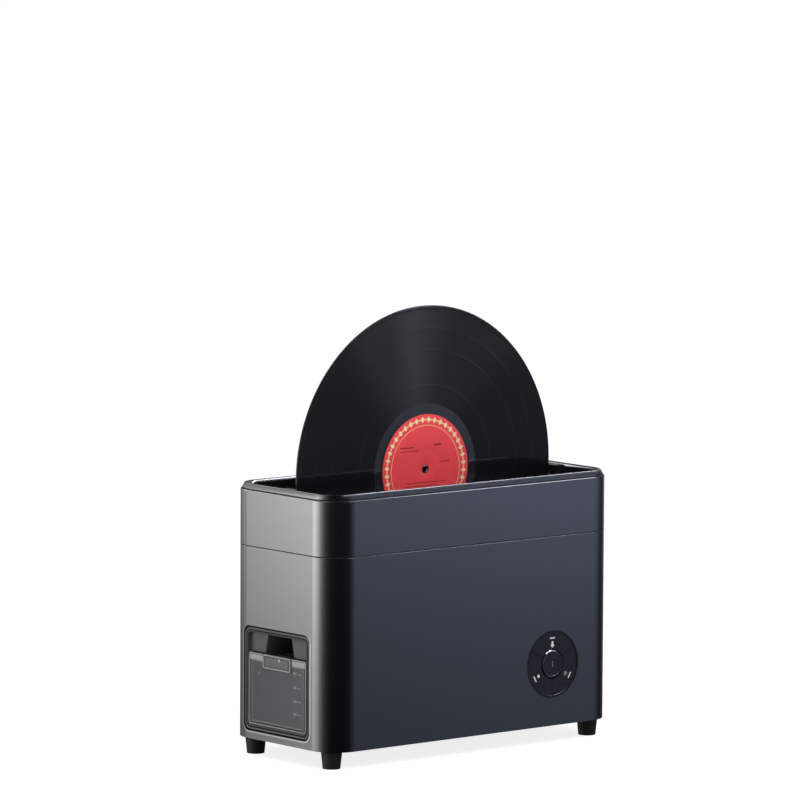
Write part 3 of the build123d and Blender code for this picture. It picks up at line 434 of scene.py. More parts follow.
nodesWith = {
    "bodyMetal": "main_shell top_cover_shell",
    "trimMetal": "top_rim",
    "polished": "centre_ring",
    "greyPlastic": "bay_bezel",
    "bayPlastic": "bay_liner",
    "blackGloss": "top_tray record_guides panel_dish record",
    "buttonGloss": "power_button mode_button wash_button dry_button",
    "lampWindow": "mode_window wash_window dry_window",
    "smokyPlastic": "water_tank tank_lid",
    "foamPad": "tank_filter filter_pad",
    "rubber": "feet basin_gasket drive_roller idler_roller",
    "steel": "base_screws deck_screws drive_shaft idler_shaft drive_shaft_clip idler_shaft_clips "
             "shaft_coupler drive_motor motor_bracket back_masses transducer_studs drain_plunger",
    "basinSteel": "wash_basin",
    "hornMetal": "chassis_posts gearbox transducer_horns",
    "bronze": "roller_bushes",
    "ceramic": "piezo_rings",
    "circuitBoard": "control_board main_board",
    "boardParts": "drain_solenoid control_switches board_components",
    "blackPlastic": "base_plate chassis_deck drain_valve_body air_ducts filter_frame rear_filter_cover "
                    "blower_housing_left blower_housing_right impeller_left impeller_right dc_socket "
                    "record_labels",
}


def finish(piece, mat):
    piece.data.materials.clear()
    piece.data.materials.append(mat)


finished = [(name, kind) for kind, names in nodesWith.items() for name in names.split()]
for name, kind in finished:
    finish(nodes[name], finishes[kind])
print("finishes given to", len(finished), "nodes")


# record
disc = {
    "turn": 360,                          # steps round
    "hole": 3.65 * mm,
    "holeEase": 0.15 * mm,
    "hubStep": (51.6, 52.3, 52.9, 53.6),  # radii of the step down from the hub, mm
    "half": 0.95 * mm,                    # half the thickness outside the hub
    "grooveLow": 60.5 * mm,
    "grooveHigh": 146.4 * mm,
    "grooveDepth": 0.03 * mm,
    "gaps": (129.6, 110.0, 78.0),         # radii of the bands between tracks, mm
    "gapHalf": 0.8 * mm,
    "bead": 1.25 * mm,                    # half the thickness at the edge
    "beadWidth": 3.6 * mm,
    "beadRise": 1.5 * mm,
    "edgeRound": 0.95 * mm,
    "mapReach": 0.16,                     # radius at which U is 1
    "grooveColour": (0.0042, 0.0040, 0.0054),
    # painted reflection: the dead wax and hub are painted lighter and bluer than the grooves, for their
    # sheen
    "paintedWaxSheen": (0.0125, 0.013, 0.018),
    "passage": (0.46, 0.54),              # roughness of quiet and loud passages
    "passageWidth": 2.2 * mm,
    "inward": 0.34,                       # what the roughness gains towards the centre
    "bandRough": 0.40,
    "waxRough": 0.16,
    "waveWidth": 0.9 * mm,
    "waveDepth": 0.004 * mm,
}


# profile (radius, y) of the front half: hub, step down, dead wax, tracks with bands, bead, round edge
def recordProfile():
    low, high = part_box("record")
    radius = (high.x - low.x) / 2
    hub = (high.y - low.y) / 2
    half = disc["half"]
    hole = disc["hole"]
    ease = disc["holeEase"]
    stepStart, stepHigh, stepLow, stepEnd = (r * mm for r in disc["hubStep"])
    points = [(hole, hub - ease), (hole + ease, hub), (stepStart, hub), (stepHigh, hub - 0.12 * mm),
              (stepLow, half + 0.05 * mm), (stepEnd, half)]
    # close points on both sides of every step keep the tracks and the bands flat
    tracks = half - disc["grooveDepth"]
    points.append((disc["grooveLow"], half))
    points += [(disc["grooveLow"] + step * mm, tracks) for step in (0.15, 0.3, 1.2)]
    for gap in sorted(disc["gaps"]):
        for step in (-2, -1.2, -1, -0.8, 0.8, 1, 1.2, 2):
            points.append((gap * mm + step * disc["gapHalf"], half if abs(step) < 1 else tracks))
    points += [(disc["grooveHigh"] - step * mm, tracks) for step in (1.2, 0.3, 0.15)]
    points.append((disc["grooveHigh"], half))
    bead = disc["bead"]
    beadStart = radius - disc["beadWidth"]
    for k in np.linspace(0, 1, 7)[1:]:
        points.append((beadStart + disc["beadRise"] * k, half + (bead - half) * k * k * (3 - 2 * k)))
    edge = disc["edgeRound"]
    for k in np.linspace(0, math.pi / 2, 9)[:-1]:
        points.append((radius - edge + edge * math.sin(k), bead - edge + edge * math.cos(k)))
    points.append((radius, bead - edge))
    return np.array(points)


def makeRecord():
    low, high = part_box("record")
    centreZ = (low.z + high.z) / 2
    front = recordProfile()
    profile = np.vstack([front, front[::-1] * (1, -1)])
    points = turnedPoints(wholeTurn(disc["turn"]), profile[:, 0], -profile[:, 1], (0, centreZ))
    piece = gridPiece("recordDisc", points, closeU=True, closeV=True)
    # U runs out from the centre and V runs round, so that the grooves stretch highlights outwards
    mesh = piece.data
    uv = mesh.uv_layers.new(name="grooveMap")
    row, column = np.divmod(cornerVertices(mesh), len(profile))
    # quads between the last row and the first end at V = 1
    lastRow = disc["turn"] - 1
    start = np.repeat(row[::4], 4)
    closing = (row == 0) & ((np.roll(row, 2) == lastRow) | (start == lastRow))
    turnRow = np.where(closing, disc["turn"], row)
    values = np.stack([profile[column, 0] / disc["mapReach"], turnRow / disc["turn"]], -1)
    uv.data.foreach_set("uv", values.astype(np.float32).ravel())
    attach(piece, "record")
    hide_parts("record")
    return piece


# about the record's centre: radius = sqrt(x^2 + z^2), then x, z and the place itself
def aboutRecord(tree):
    low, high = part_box("record")
    place = objectPlace(tree, centre=(0, 0, (low.z + high.z) / 2))
    x, y, z = split(tree, place)
    squares = [calc(tree, "MULTIPLY", part, part) for part in (x, z)]
    return calc(tree, "SQRT", calc(tree, "ADD", *squares)), x, z, place


def vinyl():
    mat, tree, shader = newMaterial("vinyl")
    radius = aboutRecord(tree)[0]
    inGrooves = allOf(tree, calc(tree, "GREATER_THAN", radius, disc["grooveLow"]),
                      calc(tree, "LESS_THAN", radius, disc["grooveHigh"]))
    for gap in disc["gaps"]:
        away = farFrom(tree, radius, gap * mm)
        inGrooves = allOf(tree, inGrooves, calc(tree, "GREATER_THAN", away, disc["gapHalf"] * 0.9))
    # loud and quiet passages: rings of slightly different gloss
    rings = addNode(tree, "TexNoise", noise_dimensions="1D")
    setSockets(rings, {"Scale": 1 / disc["passageWidth"], "Detail": 4.0})
    put(tree, radius, rings.inputs["W"])
    passage = spread(tree, rings.outputs["Fac"], *disc["passage"])
    inward = calc(tree, "SUBTRACT", 1.0, calc(tree, "DIVIDE", radius, disc["grooveHigh"]))
    passage = calc(tree, "ADD", passage, calc(tree, "MULTIPLY", inward, disc["inward"]))
    inWax = calc(tree, "LESS_THAN", radius, disc["grooveLow"])
    smoother = calc(tree, "MULTIPLY", inWax, disc["bandRough"] - disc["waxRough"])
    flat = calc(tree, "SUBTRACT", disc["bandRough"], smoother)
    smooth = calc(tree, "MULTIPLY", calc(tree, "SUBTRACT", 1.0, inGrooves), flat)
    rough = calc(tree, "ADD", smooth, calc(tree, "MULTIPLY", inGrooves, passage))
    # the painted sheen colour goes inside the grooves' low edge
    colour = mixColour(tree, inWax, (*disc["grooveColour"], 1), (*disc["paintedWaxSheen"], 1))
    paint(tree, shader, colour, rough)
    setSockets(shader, {"IOR": 1.55, "Anisotropic": 1.0, "Coat Weight": 0.33, "Coat Roughness": 0.05})
    tangent = addNode(tree, "Tangent", direction_type="UV_MAP", uv_map="grooveMap")
    put(tree, tangent.outputs["Tangent"], shader.inputs["Tangent"])
    wave = calc(tree, "SINE", calc(tree, "MULTIPLY", radius, 2 * math.pi / disc["waveWidth"]))
    height = calc(tree, "MULTIPLY", inGrooves, wave)
    bump(tree, shader, height, disc["waveDepth"], 0.5)
    return mat


record = makeRecord()
finish(record, vinyl())

label = {
    "red": (0.80, 0.054, 0.068),
    "deep": (0.23, 0.012, 0.016),
    "cream": (0.80, 0.66, 0.36),
    "ring": 45.8 * mm,
    "ringHalf": 2.9 * mm,
    "marks": 40,
    "lozenge": 2.9,                      # how narrow each one is
    "dash": {"from": 0.40, "half": 0.28},
    "rule": 40.6 * mm,
    "ruleHalf": 0.22 * mm,
    # left end, level, length and thickness, mm
    "bars": ((-30, 21, 16, 1.0), (-30, 17.6, 22, 0.7), (10, 22, 9, 1.6), (-24, -12, 48, 0.7),
             (-24, -15, 40, 0.7), (-20, -18, 40, 0.7), (-16, -21, 30, 0.7), (17, 6, 12, 0.8)),
    "hole": 3.9 * mm,
    "thick": 0.15 * mm,
    "pressed": (16.5, 17.0, 18.0, 18.5),     # radii of the pressed ring, mm
    "pressedDepth": 0.05 * mm,
    "steps": 180,
}


# a ring of lozenges with dashes between them, a thin rule inside it and a few bars
def labelPaper():
    mat, tree, shader = newMaterial("labelPaper")
    radius, x, z, place = aboutRecord(tree)
    turn = calc(tree, "DIVIDE", calc(tree, "ARCTAN2", z, x), 2 * math.pi)
    cell = calc(tree, "MULTIPLY", calc(tree, "ADD", turn, 1.0), label["marks"])
    along = farFrom(tree, calc(tree, "FRACT", cell), 0.5)
    out = calc(tree, "DIVIDE", farFrom(tree, radius, label["ring"]), label["ringHalf"])
    slope = calc(tree, "ADD", calc(tree, "MULTIPLY", along, label["lozenge"]), out)
    lozenge = calc(tree, "LESS_THAN", slope, 1.0)
    dash = allOf(tree, calc(tree, "GREATER_THAN", along, label["dash"]["from"]),
                 calc(tree, "LESS_THAN", out, label["dash"]["half"]))
    rule = calc(tree, "LESS_THAN", farFrom(tree, radius, label["rule"]), label["ruleHalf"])
    cream = calc(tree, "MAXIMUM", calc(tree, "MAXIMUM", lozenge, dash), rule)
    bars = 0.0
    for left, level, length, thick in label["bars"]:
        inBar = allOf(tree, calc(tree, "GREATER_THAN", x, left * mm),
                      calc(tree, "LESS_THAN", x, (left + length) * mm),
                      calc(tree, "LESS_THAN", farFrom(tree, z, level * mm), thick * mm / 2))
        bars = calc(tree, "MAXIMUM", bars, inBar)
    worn = noise(tree, place, 9 * mm, 3)
    colour = mixColour(tree, worn, *shades(label["red"], 0.93, 1.05))
    colour = mixColour(tree, bars, colour, (*label["deep"], 1))
    colour = mixColour(tree, cream, colour, (*label["cream"], 1))
    fibre = noise(tree, place, 0.25 * mm, 3)
    paint(tree, shader, colour, spread(tree, fibre, 0.42, 0.6))
    bump(tree, shader, fibre, 0.01 * mm)
    return mat


# each label has a turned-down edge and a pressed ring: profile (radius, height) from its hole out
def makeLabels():
    low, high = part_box("record_labels")
    centreZ = (low.z + high.z) / 2
    outer = (high.x - low.x) / 2
    hole = label["hole"]
    thick = label["thick"]
    deep = label["pressedDepth"]
    profile = [(hole, -thick), (hole, -0.04 * mm), (hole + 0.15 * mm, 0.0)]
    profile += [(r * mm, -sunk) for r, sunk in zip(label["pressed"], (0, deep, deep, 0))]
    profile += [(outer - 0.2 * mm, 0.0), (outer, -0.06 * mm), (outer, -thick)]
    radius, height = np.array(profile).T
    u = wholeTurn(label["steps"])
    sides = [turnedPoints(-side * u, radius, side * (high.y + height), (0, centreZ)) for side in (-1, 1)]
    faces = gridFaces(len(u), len(radius), closeU=True, closeV=True)
    faces = np.vstack([faces, faces + len(u) * len(radius)])
    piece = meshFrom("recordLabels", np.stack(sides), faces)
    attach(piece, "record")
    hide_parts("record_labels")
    return piece


finish(makeLabels(), labelPaper())
print("record and labels made")


# a way right, a way up and a way out of the left side and of the front
leftAxes = ((0, -1, 0), (0, 0, 1), (-1, 0, 0))
frontAxes = ((1, 0, 0), (0, 0, 1), (0, -1, 0))


def give(piece, kind, slotName, body):
    finish(piece, finishes[kind])
    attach(piece, body)
    return piece


# the quarter circles of a path's four corners: which corner, and the way out at each angle
def cornerTurns(perCorner):
    t = np.linspace(0, math.pi / 2, perCorner)
    angles = (np.arange(4)[:, None] * math.pi / 2 + t).ravel()
    corner = np.repeat([(1, 1), (-1, 1), (-1, -1), (1, -1)], perCorner, axis=0)
    return corner, np.stack([np.cos(angles), np.sin(angles)], -1)


# a closed path round a rectangle with quarter-circle corners: points and outward normals in its own plane
def roundedPath(width, height, radius, perCorner=8):
    corner, normal = cornerTurns(perCorner)
    return corner * (width / 2 - radius, height / 2 - radius) + radius * normal, normal


# half an ellipse carried round the path, closed on its flat side: across by cos(s), out by sin(s)
def bead(name, path, normal, across, high, origin, axes):
    s = np.linspace(0, math.pi, 9)
    side = np.cos(s) * across / 2
    out = np.sin(s) * high
    flat = path[:, None, :] + normal[:, None, :] * side[None, :, None]
    wayOut = np.array(axes[2], float)
    points = flat @ np.array(axes[:2], float) + out[None, :, None] * wayOut + np.array(origin, float)
    return gridPiece(name, points, closeU=True, closeV=True)


# a bead on the left side, inset from an outline of the given size; its foot is sunk a little
def onLeft(name, centre, size, inset, radius, x, across, high, kind, slotName, body):
    sunk = 0.05 * mm
    path, normal = roundedPath(size[0] - 2 * inset, size[1] - 2 * inset, radius)
    piece = bead(name, path, normal, across, high + sunk, (x + sunk, *centre), leftAxes)
    return give(piece, kind, slotName, body)


# a low pad: its outline is reach(angle), its top bows by 1 - v^4, and a pole closes its centre
def pad(name, reach, high, origin, axes, count):
    a = wholeTurn(count)
    v = np.linspace(0, 1, 5)[1:]
    r = reach(a)[:, None] * v
    out = high * (1 - v ** 4)
    wayOut = np.array(axes[2], float)
    flat = np.stack([np.cos(a)[:, None] * r, np.sin(a)[:, None] * r], -1) @ np.array(axes[:2], float)
    points = flat + out[None, :, None] * wayOut
    verts = np.vstack([points.reshape(-1, 3), [wayOut * high]]) + np.array(origin, float)
    faces = gridFaces(count, len(v), closeU=True).tolist()
    faces += poleFaces(count, len(v), len(verts) - 1).tolist()
    return meshFrom(name, verts, faces)


# the outline of a bar: (|cos a / halfU|^n + |sin a / halfV|^n)^(-1/n)
def barReach(halfU, halfV, n):
    return lambda a: ((np.abs(np.cos(a)) / halfU) ** n + (np.abs(np.sin(a)) / halfV) ** n) ** (-1 / n)


# the outline of a drop drawn out to a point: r (1 + c sin^m a + d max(sin a, 0)^n), and how far it leans
def dropReach(r, c, m, d, n, lean=0.0):
    return lambda a: r * (1 + c * np.sin(a - lean) ** m + d * np.maximum(np.sin(a - lean), 0) ** n)


# joint lines and the rim
shellLow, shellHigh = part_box("main_shell")
shellForm = {
    "corner": 27.0 * mm,
    "jointHigh": 0.78 * mm,
    "seam": {"inset": 0.42 * mm, "out": 0.4 * mm},
    "rimSeam": {"inset": 1.0 * mm, "out": 0.35 * mm, "down": 0.05 * mm},
    "rimFoot": 1.55 * mm,
    "rimLean": 1.75 * mm,
    "rimBend": 0.8 * mm,
    "rimBendFrom": 25,         # degrees
    "rimInner": 6.2 * mm,
    "rimSlope": 2.5 * mm,
    "rimWall": 6.5 * mm,
    "rimEase": 0.2 * mm,
}


# half an ellipse carried level round the body at a given inset; it stands outwards from its path
def roundBody(name, inset, z, out, carrier):
    width = shellHigh.x - shellLow.x - 2 * inset
    depth = shellHigh.y - shellLow.y - 2 * inset
    path, normal = roundedPath(width, depth, shellForm["corner"] - inset, 16)
    s = np.linspace(0, math.pi, 9)
    push = np.sin(s) * out
    height = z + np.cos(s) * shellForm["jointHigh"] / 2
    flat = path[:, None, :] + normal[:, None, :] * push[None, :, None]
    piece = gridPiece(name, raised(flat, height)[:, ::-1], closeU=True, closeV=True)
    return give(piece, "rubber", "rubber", carrier)


def makeJoints():
    seam = shellForm["seam"]
    rimSeam = shellForm["rimSeam"]
    seamZ = (shellHigh.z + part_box("top_cover_shell")[0].z) / 2
    roundBody("seamGasket", seam["inset"], seamZ, seam["out"], "chassis")
    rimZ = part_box("top_rim")[0].z - rimSeam["down"]
    roundBody("rimGasket", rimSeam["inset"], rimZ, rimSeam["out"], "top_cover")


# the rim's section as (inset, height under its top): upright foot, round shoulder, land, inner slope
def makeRim():
    low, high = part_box("top_rim")
    tall = high.z - low.z
    foot = shellForm["rimFoot"]
    bend = shellForm["rimBend"]
    top = foot + shellForm["rimLean"] + bend
    inner = shellForm["rimInner"]
    slope = shellForm["rimSlope"]
    wall = shellForm["rimWall"]
    ease = shellForm["rimEase"]
    section = [(foot + 0.25 * mm, -tall), (foot, 0.3 * mm - tall), (foot + 0.1 * mm, 1.7 * mm - tall)]
    for k in np.linspace(math.radians(shellForm["rimBendFrom"]), math.pi / 2, 7):
        section.append((top - bend * math.cos(k), bend * (math.sin(k) - 1)))
    section += [(inner - ease, 0.0), (inner, -ease / 2), (inner + slope, -slope),
                (inner + slope, -slope - ease), (wall, -slope - ease), (wall, -tall)]
    inset, under = np.array(section).T
    corner, way = cornerTurns(17)
    half = np.array([shellHigh.x - shellLow.x, shellHigh.y - shellLow.y]) / 2 - shellForm["corner"]
    flat = (corner * half)[:, None, :] + way[:, None, :] * (shellForm["corner"] - inset)[None, :, None]
    rim = gridPiece("rimBand", raised(flat, high.z + under), closeU=True, closeV=True)
    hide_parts("top_rim")
    give(rim, "trimMetal", "trim_metal", "top_cover")


makeRim()
makeJoints()
print("joint lines made")


# the water tank's front
tankLow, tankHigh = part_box("water_tank")
tank = {
    "edgeInset": 0.8 * mm,
    "edgeCorner": 2.6 * mm,
    "wallInset": 3.3 * mm,
    "paneInset": 6.3 * mm,
    "paneTop": 7.5 * mm,                 # under the top of the front wall
    "paneFoot": 3.9 * mm,
    "latchWidth": 40 * mm,
    "latchDrop": 13 * mm,
    "latchLine": {"inset": 0.7 * mm, "corner": 1.8 * mm, "across": 1.1 * mm, "high": 0.17 * mm},
    "latchFace": {"inset": 1.8 * mm, "bow": 0.05 * mm},
    "latchDot": {"radius": 1.1 * mm, "in": 3.7 * mm},
    "lip": {"edge": 1.6 * mm, "high": 5.4 * mm, "bow": 0.30 * mm, "gap": 0.8 * mm},
    "gapStrip": {"up": 0.1 * mm, "high": 1.5 * mm, "bow": 0.06 * mm},
    "marks": (83.0, 70.2, 57.8, 46.1),   # heights of the level marks, mm
    "markStart": -18.4 * mm,
    "markGap": 6.4 * mm,
    "markLength": 5.2 * mm,
    "fullLonger": 1.6 * mm,
    "markHalf": 0.28 * mm,
    "printHigh": 0.05 * mm,
    "numberSize": 3.6 * mm,
    "drop": {"y": 30 * mm, "z": 77.3 * mm, "radius": 1.25 * mm},
}
onTank = ("smoky_plastic", "water_tank")     # slot and body of its small pieces
tankY = (tankLow.y + tankHigh.y) / 2
tankZ = (tankLow.z + tankHigh.z) / 2
tankWidth = tankHigh.y - tankLow.y
tankHeight = tankHigh.z - tankLow.z
tankFace = tankLow.x
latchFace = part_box("tank_lid")[0].x
latchMiddle = (tankY, tankHigh.z - tank["latchDrop"] / 2)


# thin outlines on the tank's front, each by its inset from the wall's own outline; their light lines are
# painted edge light
def makeTankEdges():
    edge = tank["edgeInset"]
    wall = tank["wallInset"]
    rounds = (("tankEdge", edge, tank["edgeCorner"], 0.9 * mm, 0.35 * mm, "marksAndPaintedEdgeLight"),
              ("tankBorder", (edge + wall) / 2, 2.2 * mm, 1.8 * mm, 0.05 * mm, "tankShade"),
              ("tankWallLine", wall, 2 * mm, 0.6 * mm, 0.12 * mm, "faintMarksAndPaintedEdgeLight"))
    for name, inset, corner, across, high, kind in rounds:
        onLeft(name, (tankY, tankZ), (tankWidth, tankHeight), inset, corner, tankFace, across, high, kind,
               *onTank)
    foot = tankLow.z + tank["paneFoot"]
    top = tankHigh.z - tank["paneTop"]
    size = (tankWidth - 2 * tank["paneInset"], top - foot)
    onLeft("tankPaneLine", (tankY, (foot + top) / 2), size, 0, 1.5 * mm, tankFace, 0.5 * mm, 0.10 * mm,
           "faintMarksAndPaintedEdgeLight", *onTank)


# the latch tongue's raised outline, whose light colour is partly painted edge light, and its dot
def makeLatch():
    line = tank["latchLine"]
    spot = tank["latchDot"]
    onLeft("latchOutline", latchMiddle, (tank["latchWidth"], tank["latchDrop"]), line["inset"],
           line["corner"], latchFace, line["across"], line["high"], "marksAndPaintedEdgeLight", *onTank)
    place = (latchFace, tankY - spot["in"], tankHigh.z - spot["in"])
    dot = pad("latchDot", lambda a: spot["radius"] / (1 + 0.25 * np.cos(2 * a)), line["high"], place,
              leftAxes, 20)
    give(dot, "print", *onTank)


# a bowed sheet on the left side: out = high (1 - u^8)(1 - v^4) over its half width and half height
def sheet(name, y, z, width, height, x, high, kind, slotName, carrier):
    sunk = 0.03 * mm
    u, v = np.meshgrid(np.linspace(-1, 1, 41), np.linspace(-1, 1, 17), indexing="ij")
    out = high * (1 - u ** 8) * (1 - v ** 4) - sunk
    points = np.stack([x - out, y - u * width / 2, z + v * height / 2], -1)
    return give(gridPiece(name, points), kind, slotName, carrier)


# the bowed bars of the lip on both sides of the latch, lightened partly by painted highlight, the dark
# gap over each, and the latch's face
def makeLips():
    lip = tank["lip"]
    gap = tank["gapStrip"]
    half = tank["latchWidth"] / 2 + lip["gap"]
    for side, low, high in (("Rear", tankY + half, tankHigh.y - lip["edge"]),
                            ("Front", tankLow.y + lip["edge"], tankY - half)):
        y = (low + high) / 2
        z = tankHigh.z - lip["edge"] - lip["high"] / 2
        sheet("lip" + side, y, z, high - low, lip["high"], tankFace, lip["bow"], "marksAndPaintedEdgeLight", *onTank)
        sheet("gap" + side, y, tankHigh.z + gap["up"], high - low + lip["edge"], gap["high"],
              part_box("bay_liner")[0].x, gap["bow"], "jointBlack", "rubber", "chassis")
    face = tank["latchFace"]
    width = tank["latchWidth"] - 2 * face["inset"]
    height = tank["latchDrop"] - 2 * face["inset"]
    sheet("latchFace", *latchMiddle, width, height, latchFace, face["bow"], "latchGrey", *onTank)


# level marks, each a tick with its millilitres beside it, and a drop near the highest
def makeMarks():
    high = tank["printHigh"]
    count = len(tank["marks"])
    for index, level in enumerate(tank["marks"]):
        longer = tank["fullLonger"] if index == 0 else 0
        half = (tank["markLength"] + longer) / 2
        place = (tankFace, tank["markStart"] - tank["markGap"] - half, level * mm)
        tick = pad(f"tankTick{index}", barReach(half, tank["markHalf"], 6), high, place, leftAxes, 32)
        give(tick, "marksAndPaintedEdgeLight", *onTank)
        writeOnTank(f"tankNumber{index}", str(100 * (count - index)), tank["markStart"], level * mm)
    form = tank["drop"]
    reach = dropReach(form["radius"], 0.28, 5, 0.25, 12)
    drop = pad("tankDrop", reach, high, (tankFace, form["y"], form["z"]), leftAxes, 48)
    give(drop, "faintMarksAndPaintedEdgeLight", *onTank)


def writeOnTank(name, text, y, z):
    curve = bpy.data.curves.new(name, "FONT")
    curve.body = text
    curve.size = tank["numberSize"]
    curve.extrude = 0.03 * mm     # to both sides
    curve.align_y = "CENTER"
    words = bpy.data.objects.new(name, curve)
    scene.collection.objects.link(words)
    bpy.context.view_layer.update()
    mesh = bpy.data.meshes.new_from_object(words)
    bpy.data.objects.remove(words)
    turn = Matrix(((0, 0, -1), (-1, 0, 0), (0, 1, 0))).to_4x4()
    proud = 0.02 * mm
    mesh.transform(Matrix.Translation((tankFace - proud, y, z)) @ turn)
    piece = bpy.data.objects.new(name, mesh)
    scene.collection.objects.link(piece)
    give(piece, "marksAndPaintedEdgeLight", *onTank)


makeTankEdges()
makeLatch()
makeLips()
makeMarks()
print("tank details made")


# edges round the bay from outside in: the black joint, then the bezel's edge, groove and rib
# each one: how far outside the opening, shift in y, corner, width, height, finish, slot
bayRounds = {
    "bayJoint": (4.65 * mm, 0.0, 7.7 * mm, 0.8 * mm, 0.10 * mm, "jointBlack", "rubber"),
    "bezelEdge": (3.85 * mm, 0.0, 7.0 * mm, 0.6 * mm, 0.12 * mm, "trimMetal", "trim_metal"),
    "bayGroove": (1.85 * mm, 0.1 * mm, 5.5 * mm, 1.0 * mm, 0.06 * mm, "jointBlack", "black_plastic"),
    "bayRib": (0.9 * mm, 0.0, 4.9 * mm, 0.9 * mm, 0.22 * mm, "greyPlastic", "black_plastic"),
}


def makeBay():
    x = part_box("bay_bezel")[0].x
    for name, (out, shift, radius, across, high, kind, slotName) in bayRounds.items():
        onLeft(name, (bay["y"] + shift, bay["z"]), (bay["width"], bay["height"]), -out, radius, x, across,
               high, kind, slotName, "chassis")


makeBay()
print("bay details made")


# control panel
ringLow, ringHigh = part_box("centre_ring")
panelX = (ringLow.x + ringHigh.x) / 2
panelZ = (ringLow.z + ringHigh.z) / 2
panel = {
    "steps": 96,                 # round each turned piece
    "face": ringLow.y,
    "ringInner": 11.0 * mm,
    "ringOuter": (ringHigh.x - ringLow.x) / 2,
    "ringRound": 1.5 * mm,
    "ringDrop": 0.72,            # how far the shoulder drops, as a part of its width
    "lipOuter": 29.5 * mm,
    "lipInner": 29.02 * mm,
    "lipThick": 0.5 * mm,
    "recess": 0.6 * mm,
    "powerRecess": 0.2 * mm,
    "symbolOrbit": 18.6 * mm,
    "symbolSunk": 0.01 * mm,
    "symbolHigh": 0.03 * mm,
    "stroke": {"halfWide": 0.3 * mm, "halfLong": 3.2 * mm},
}


# a profile of (radius, depth behind the face) turned round the panel's axis and closed on itself
def turned(name, profile):
    radius, depth = np.array(profile).T
    points = turnedPoints(wholeTurn(panel["steps"]), radius, panel["face"] + depth, (panelX, panelZ))
    return gridPiece(name, points, closeU=True, closeV=True)


def makeRing():
    inner = panel["ringInner"]
    outer = panel["ringOuter"]
    shoulder = outer - panel["ringRound"]
    drop = panel["ringRound"] * panel["ringDrop"]
    depth = ringHigh.y - ringLow.y
    ring = turned("panelRing", [
        (inner, depth), (inner, 0.25 * mm), (inner + 0.1 * mm, 0.06 * mm), (inner + 0.3 * mm, 0.0),
        (shoulder, 0.0), (shoulder + 0.1 * mm, 0.04 * mm), (outer - 0.15 * mm, drop),
        (outer, drop + 0.2 * mm), (outer, depth),
    ])
    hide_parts("centre_ring")
    give(ring, "polished", "trim_metal", "chassis")
    outer = panel["lipOuter"]
    inner = panel["lipInner"]
    foot = panel["recess"] + panel["lipThick"]
    lip = turned("panelLip", [(outer, 0.02 * mm), (inner, panel["recess"]), (inner, foot), (outer, foot)])
    give(lip, "trimMetal", "trim_metal", "chassis")


# the buttons' symbols: two beads for the mode, a leaning drop for the wash and a fan for the drying
# each one: outline in mm, angle round the panel, how far outside the orbit in mm, finish, body, steps
symbols = {
    "modeUpper": (lambda a: 1.2 + 0 * a, 90, 1.5, "print", "mode_button", 40),
    "modeLower": (lambda a: 1.75 * (1 + 0.12 * np.cos(4 * a)), 90, -1.2, "print", "mode_button", 40),
    "washDrop": (dropReach(1.3, 0.3, 3, 0.5, 10, 0.5), 212, 0.9, "print", "wash_button", 40),
    "dryFan": (lambda a: 2.3 * (0.82 + 0.24 * np.cos(6 * a)), 328, 0.3, "greyPrint", "dry_button", 72),
}


def makeSymbols():
    high = panel["symbolHigh"]
    face = panel["face"] + panel["recess"] - panel["symbolSunk"]
    for name, (outline, angle, out, kind, body, count) in symbols.items():
        a = math.radians(angle)
        orbit = panel["symbolOrbit"] + out * mm
        place = (panelX + math.cos(a) * orbit, face, panelZ + math.sin(a) * orbit)
        piece = pad(name, lambda t: outline(t) * mm, high, place, frontAxes, count)
        give(piece, kind, "window", body)
    face = panel["face"] + panel["powerRecess"] - panel["symbolSunk"]
    stroke = barReach(panel["stroke"]["halfWide"], panel["stroke"]["halfLong"], 4)
    bar = pad("powerStroke", stroke, high, (panelX, face, panelZ), frontAxes, 48)
    give(bar, "greyPrint", "window", "power_button")


makeRing()
makeSymbols()
print("panel details made")


# floor, reflections and lights
room = {
    "steps": 96,             # round the floor and the screens
    "floorRadius": 60.0,
    "floorGlow": 0.83,       # what the camera sees of the floor before light and shadow
    "floorPaint": 0.35,
    "ambient": 0.55,
    "middle": (0, 0, 0.2),
    "tentRadius": 1.1,       # the screens' drum
    "tentLow": -1.2,
    "tentHigh": 2.0,
}

# what stands round the object in its reflections, by the way it lies: degrees from -X towards -Y
surroundings = [
    (-180, (0.07, 0.07, 0.08)), (-165, (0.26, 0.265, 0.29)), (-150, (0.40, 0.405, 0.43)),
    (-135, (0.22, 0.22, 0.225)), (-120, (0.13, 0.13, 0.125)), (-100, (0.22, 0.215, 0.195)),
    (-86, (0.42, 0.415, 0.37)), (-76, (0.60, 0.59, 0.525)), (-66, (0.78, 0.77, 0.68)),
    (-56, (0.86, 0.85, 0.745)), (-47.5, (0.90, 0.89, 0.78)), (-43.5, (1.78, 1.75, 1.55)),
    (-34, (2.90, 2.85, 2.55)), (-22, (2.20, 2.16, 1.98)), (-14, (1.50, 1.47, 1.36)),
    (-6, (0.75, 0.73, 0.68)), (4, (0.26, 0.255, 0.25)), (16, (0.08, 0.08, 0.08)),
    (30, (0.03, 0.03, 0.03)), (60, (0.022, 0.022, 0.025)), (88, (0.026, 0.026, 0.032)),
    (102, (0.050, 0.052, 0.062)), (112, (0.14, 0.155, 0.19)), (121, (0.25, 0.28, 0.35)),
    (134, (0.27, 0.305, 0.385)), (146, (0.23, 0.255, 0.32)), (158, (0.11, 0.115, 0.14)),
    (170, (0.06, 0.06, 0.07)), (180, (0.06, 0.06, 0.07)),
]
# and how much of it there is at each height, metres
surroundingHeights = [(-1.2, 0.15), (-0.35, 0.30), (-0.07, 0.48), (0.13, 1.0), (0.35, 1.35),
                      (0.6, 1.0), (1.0, 0.45), (2.0, 0.3)]


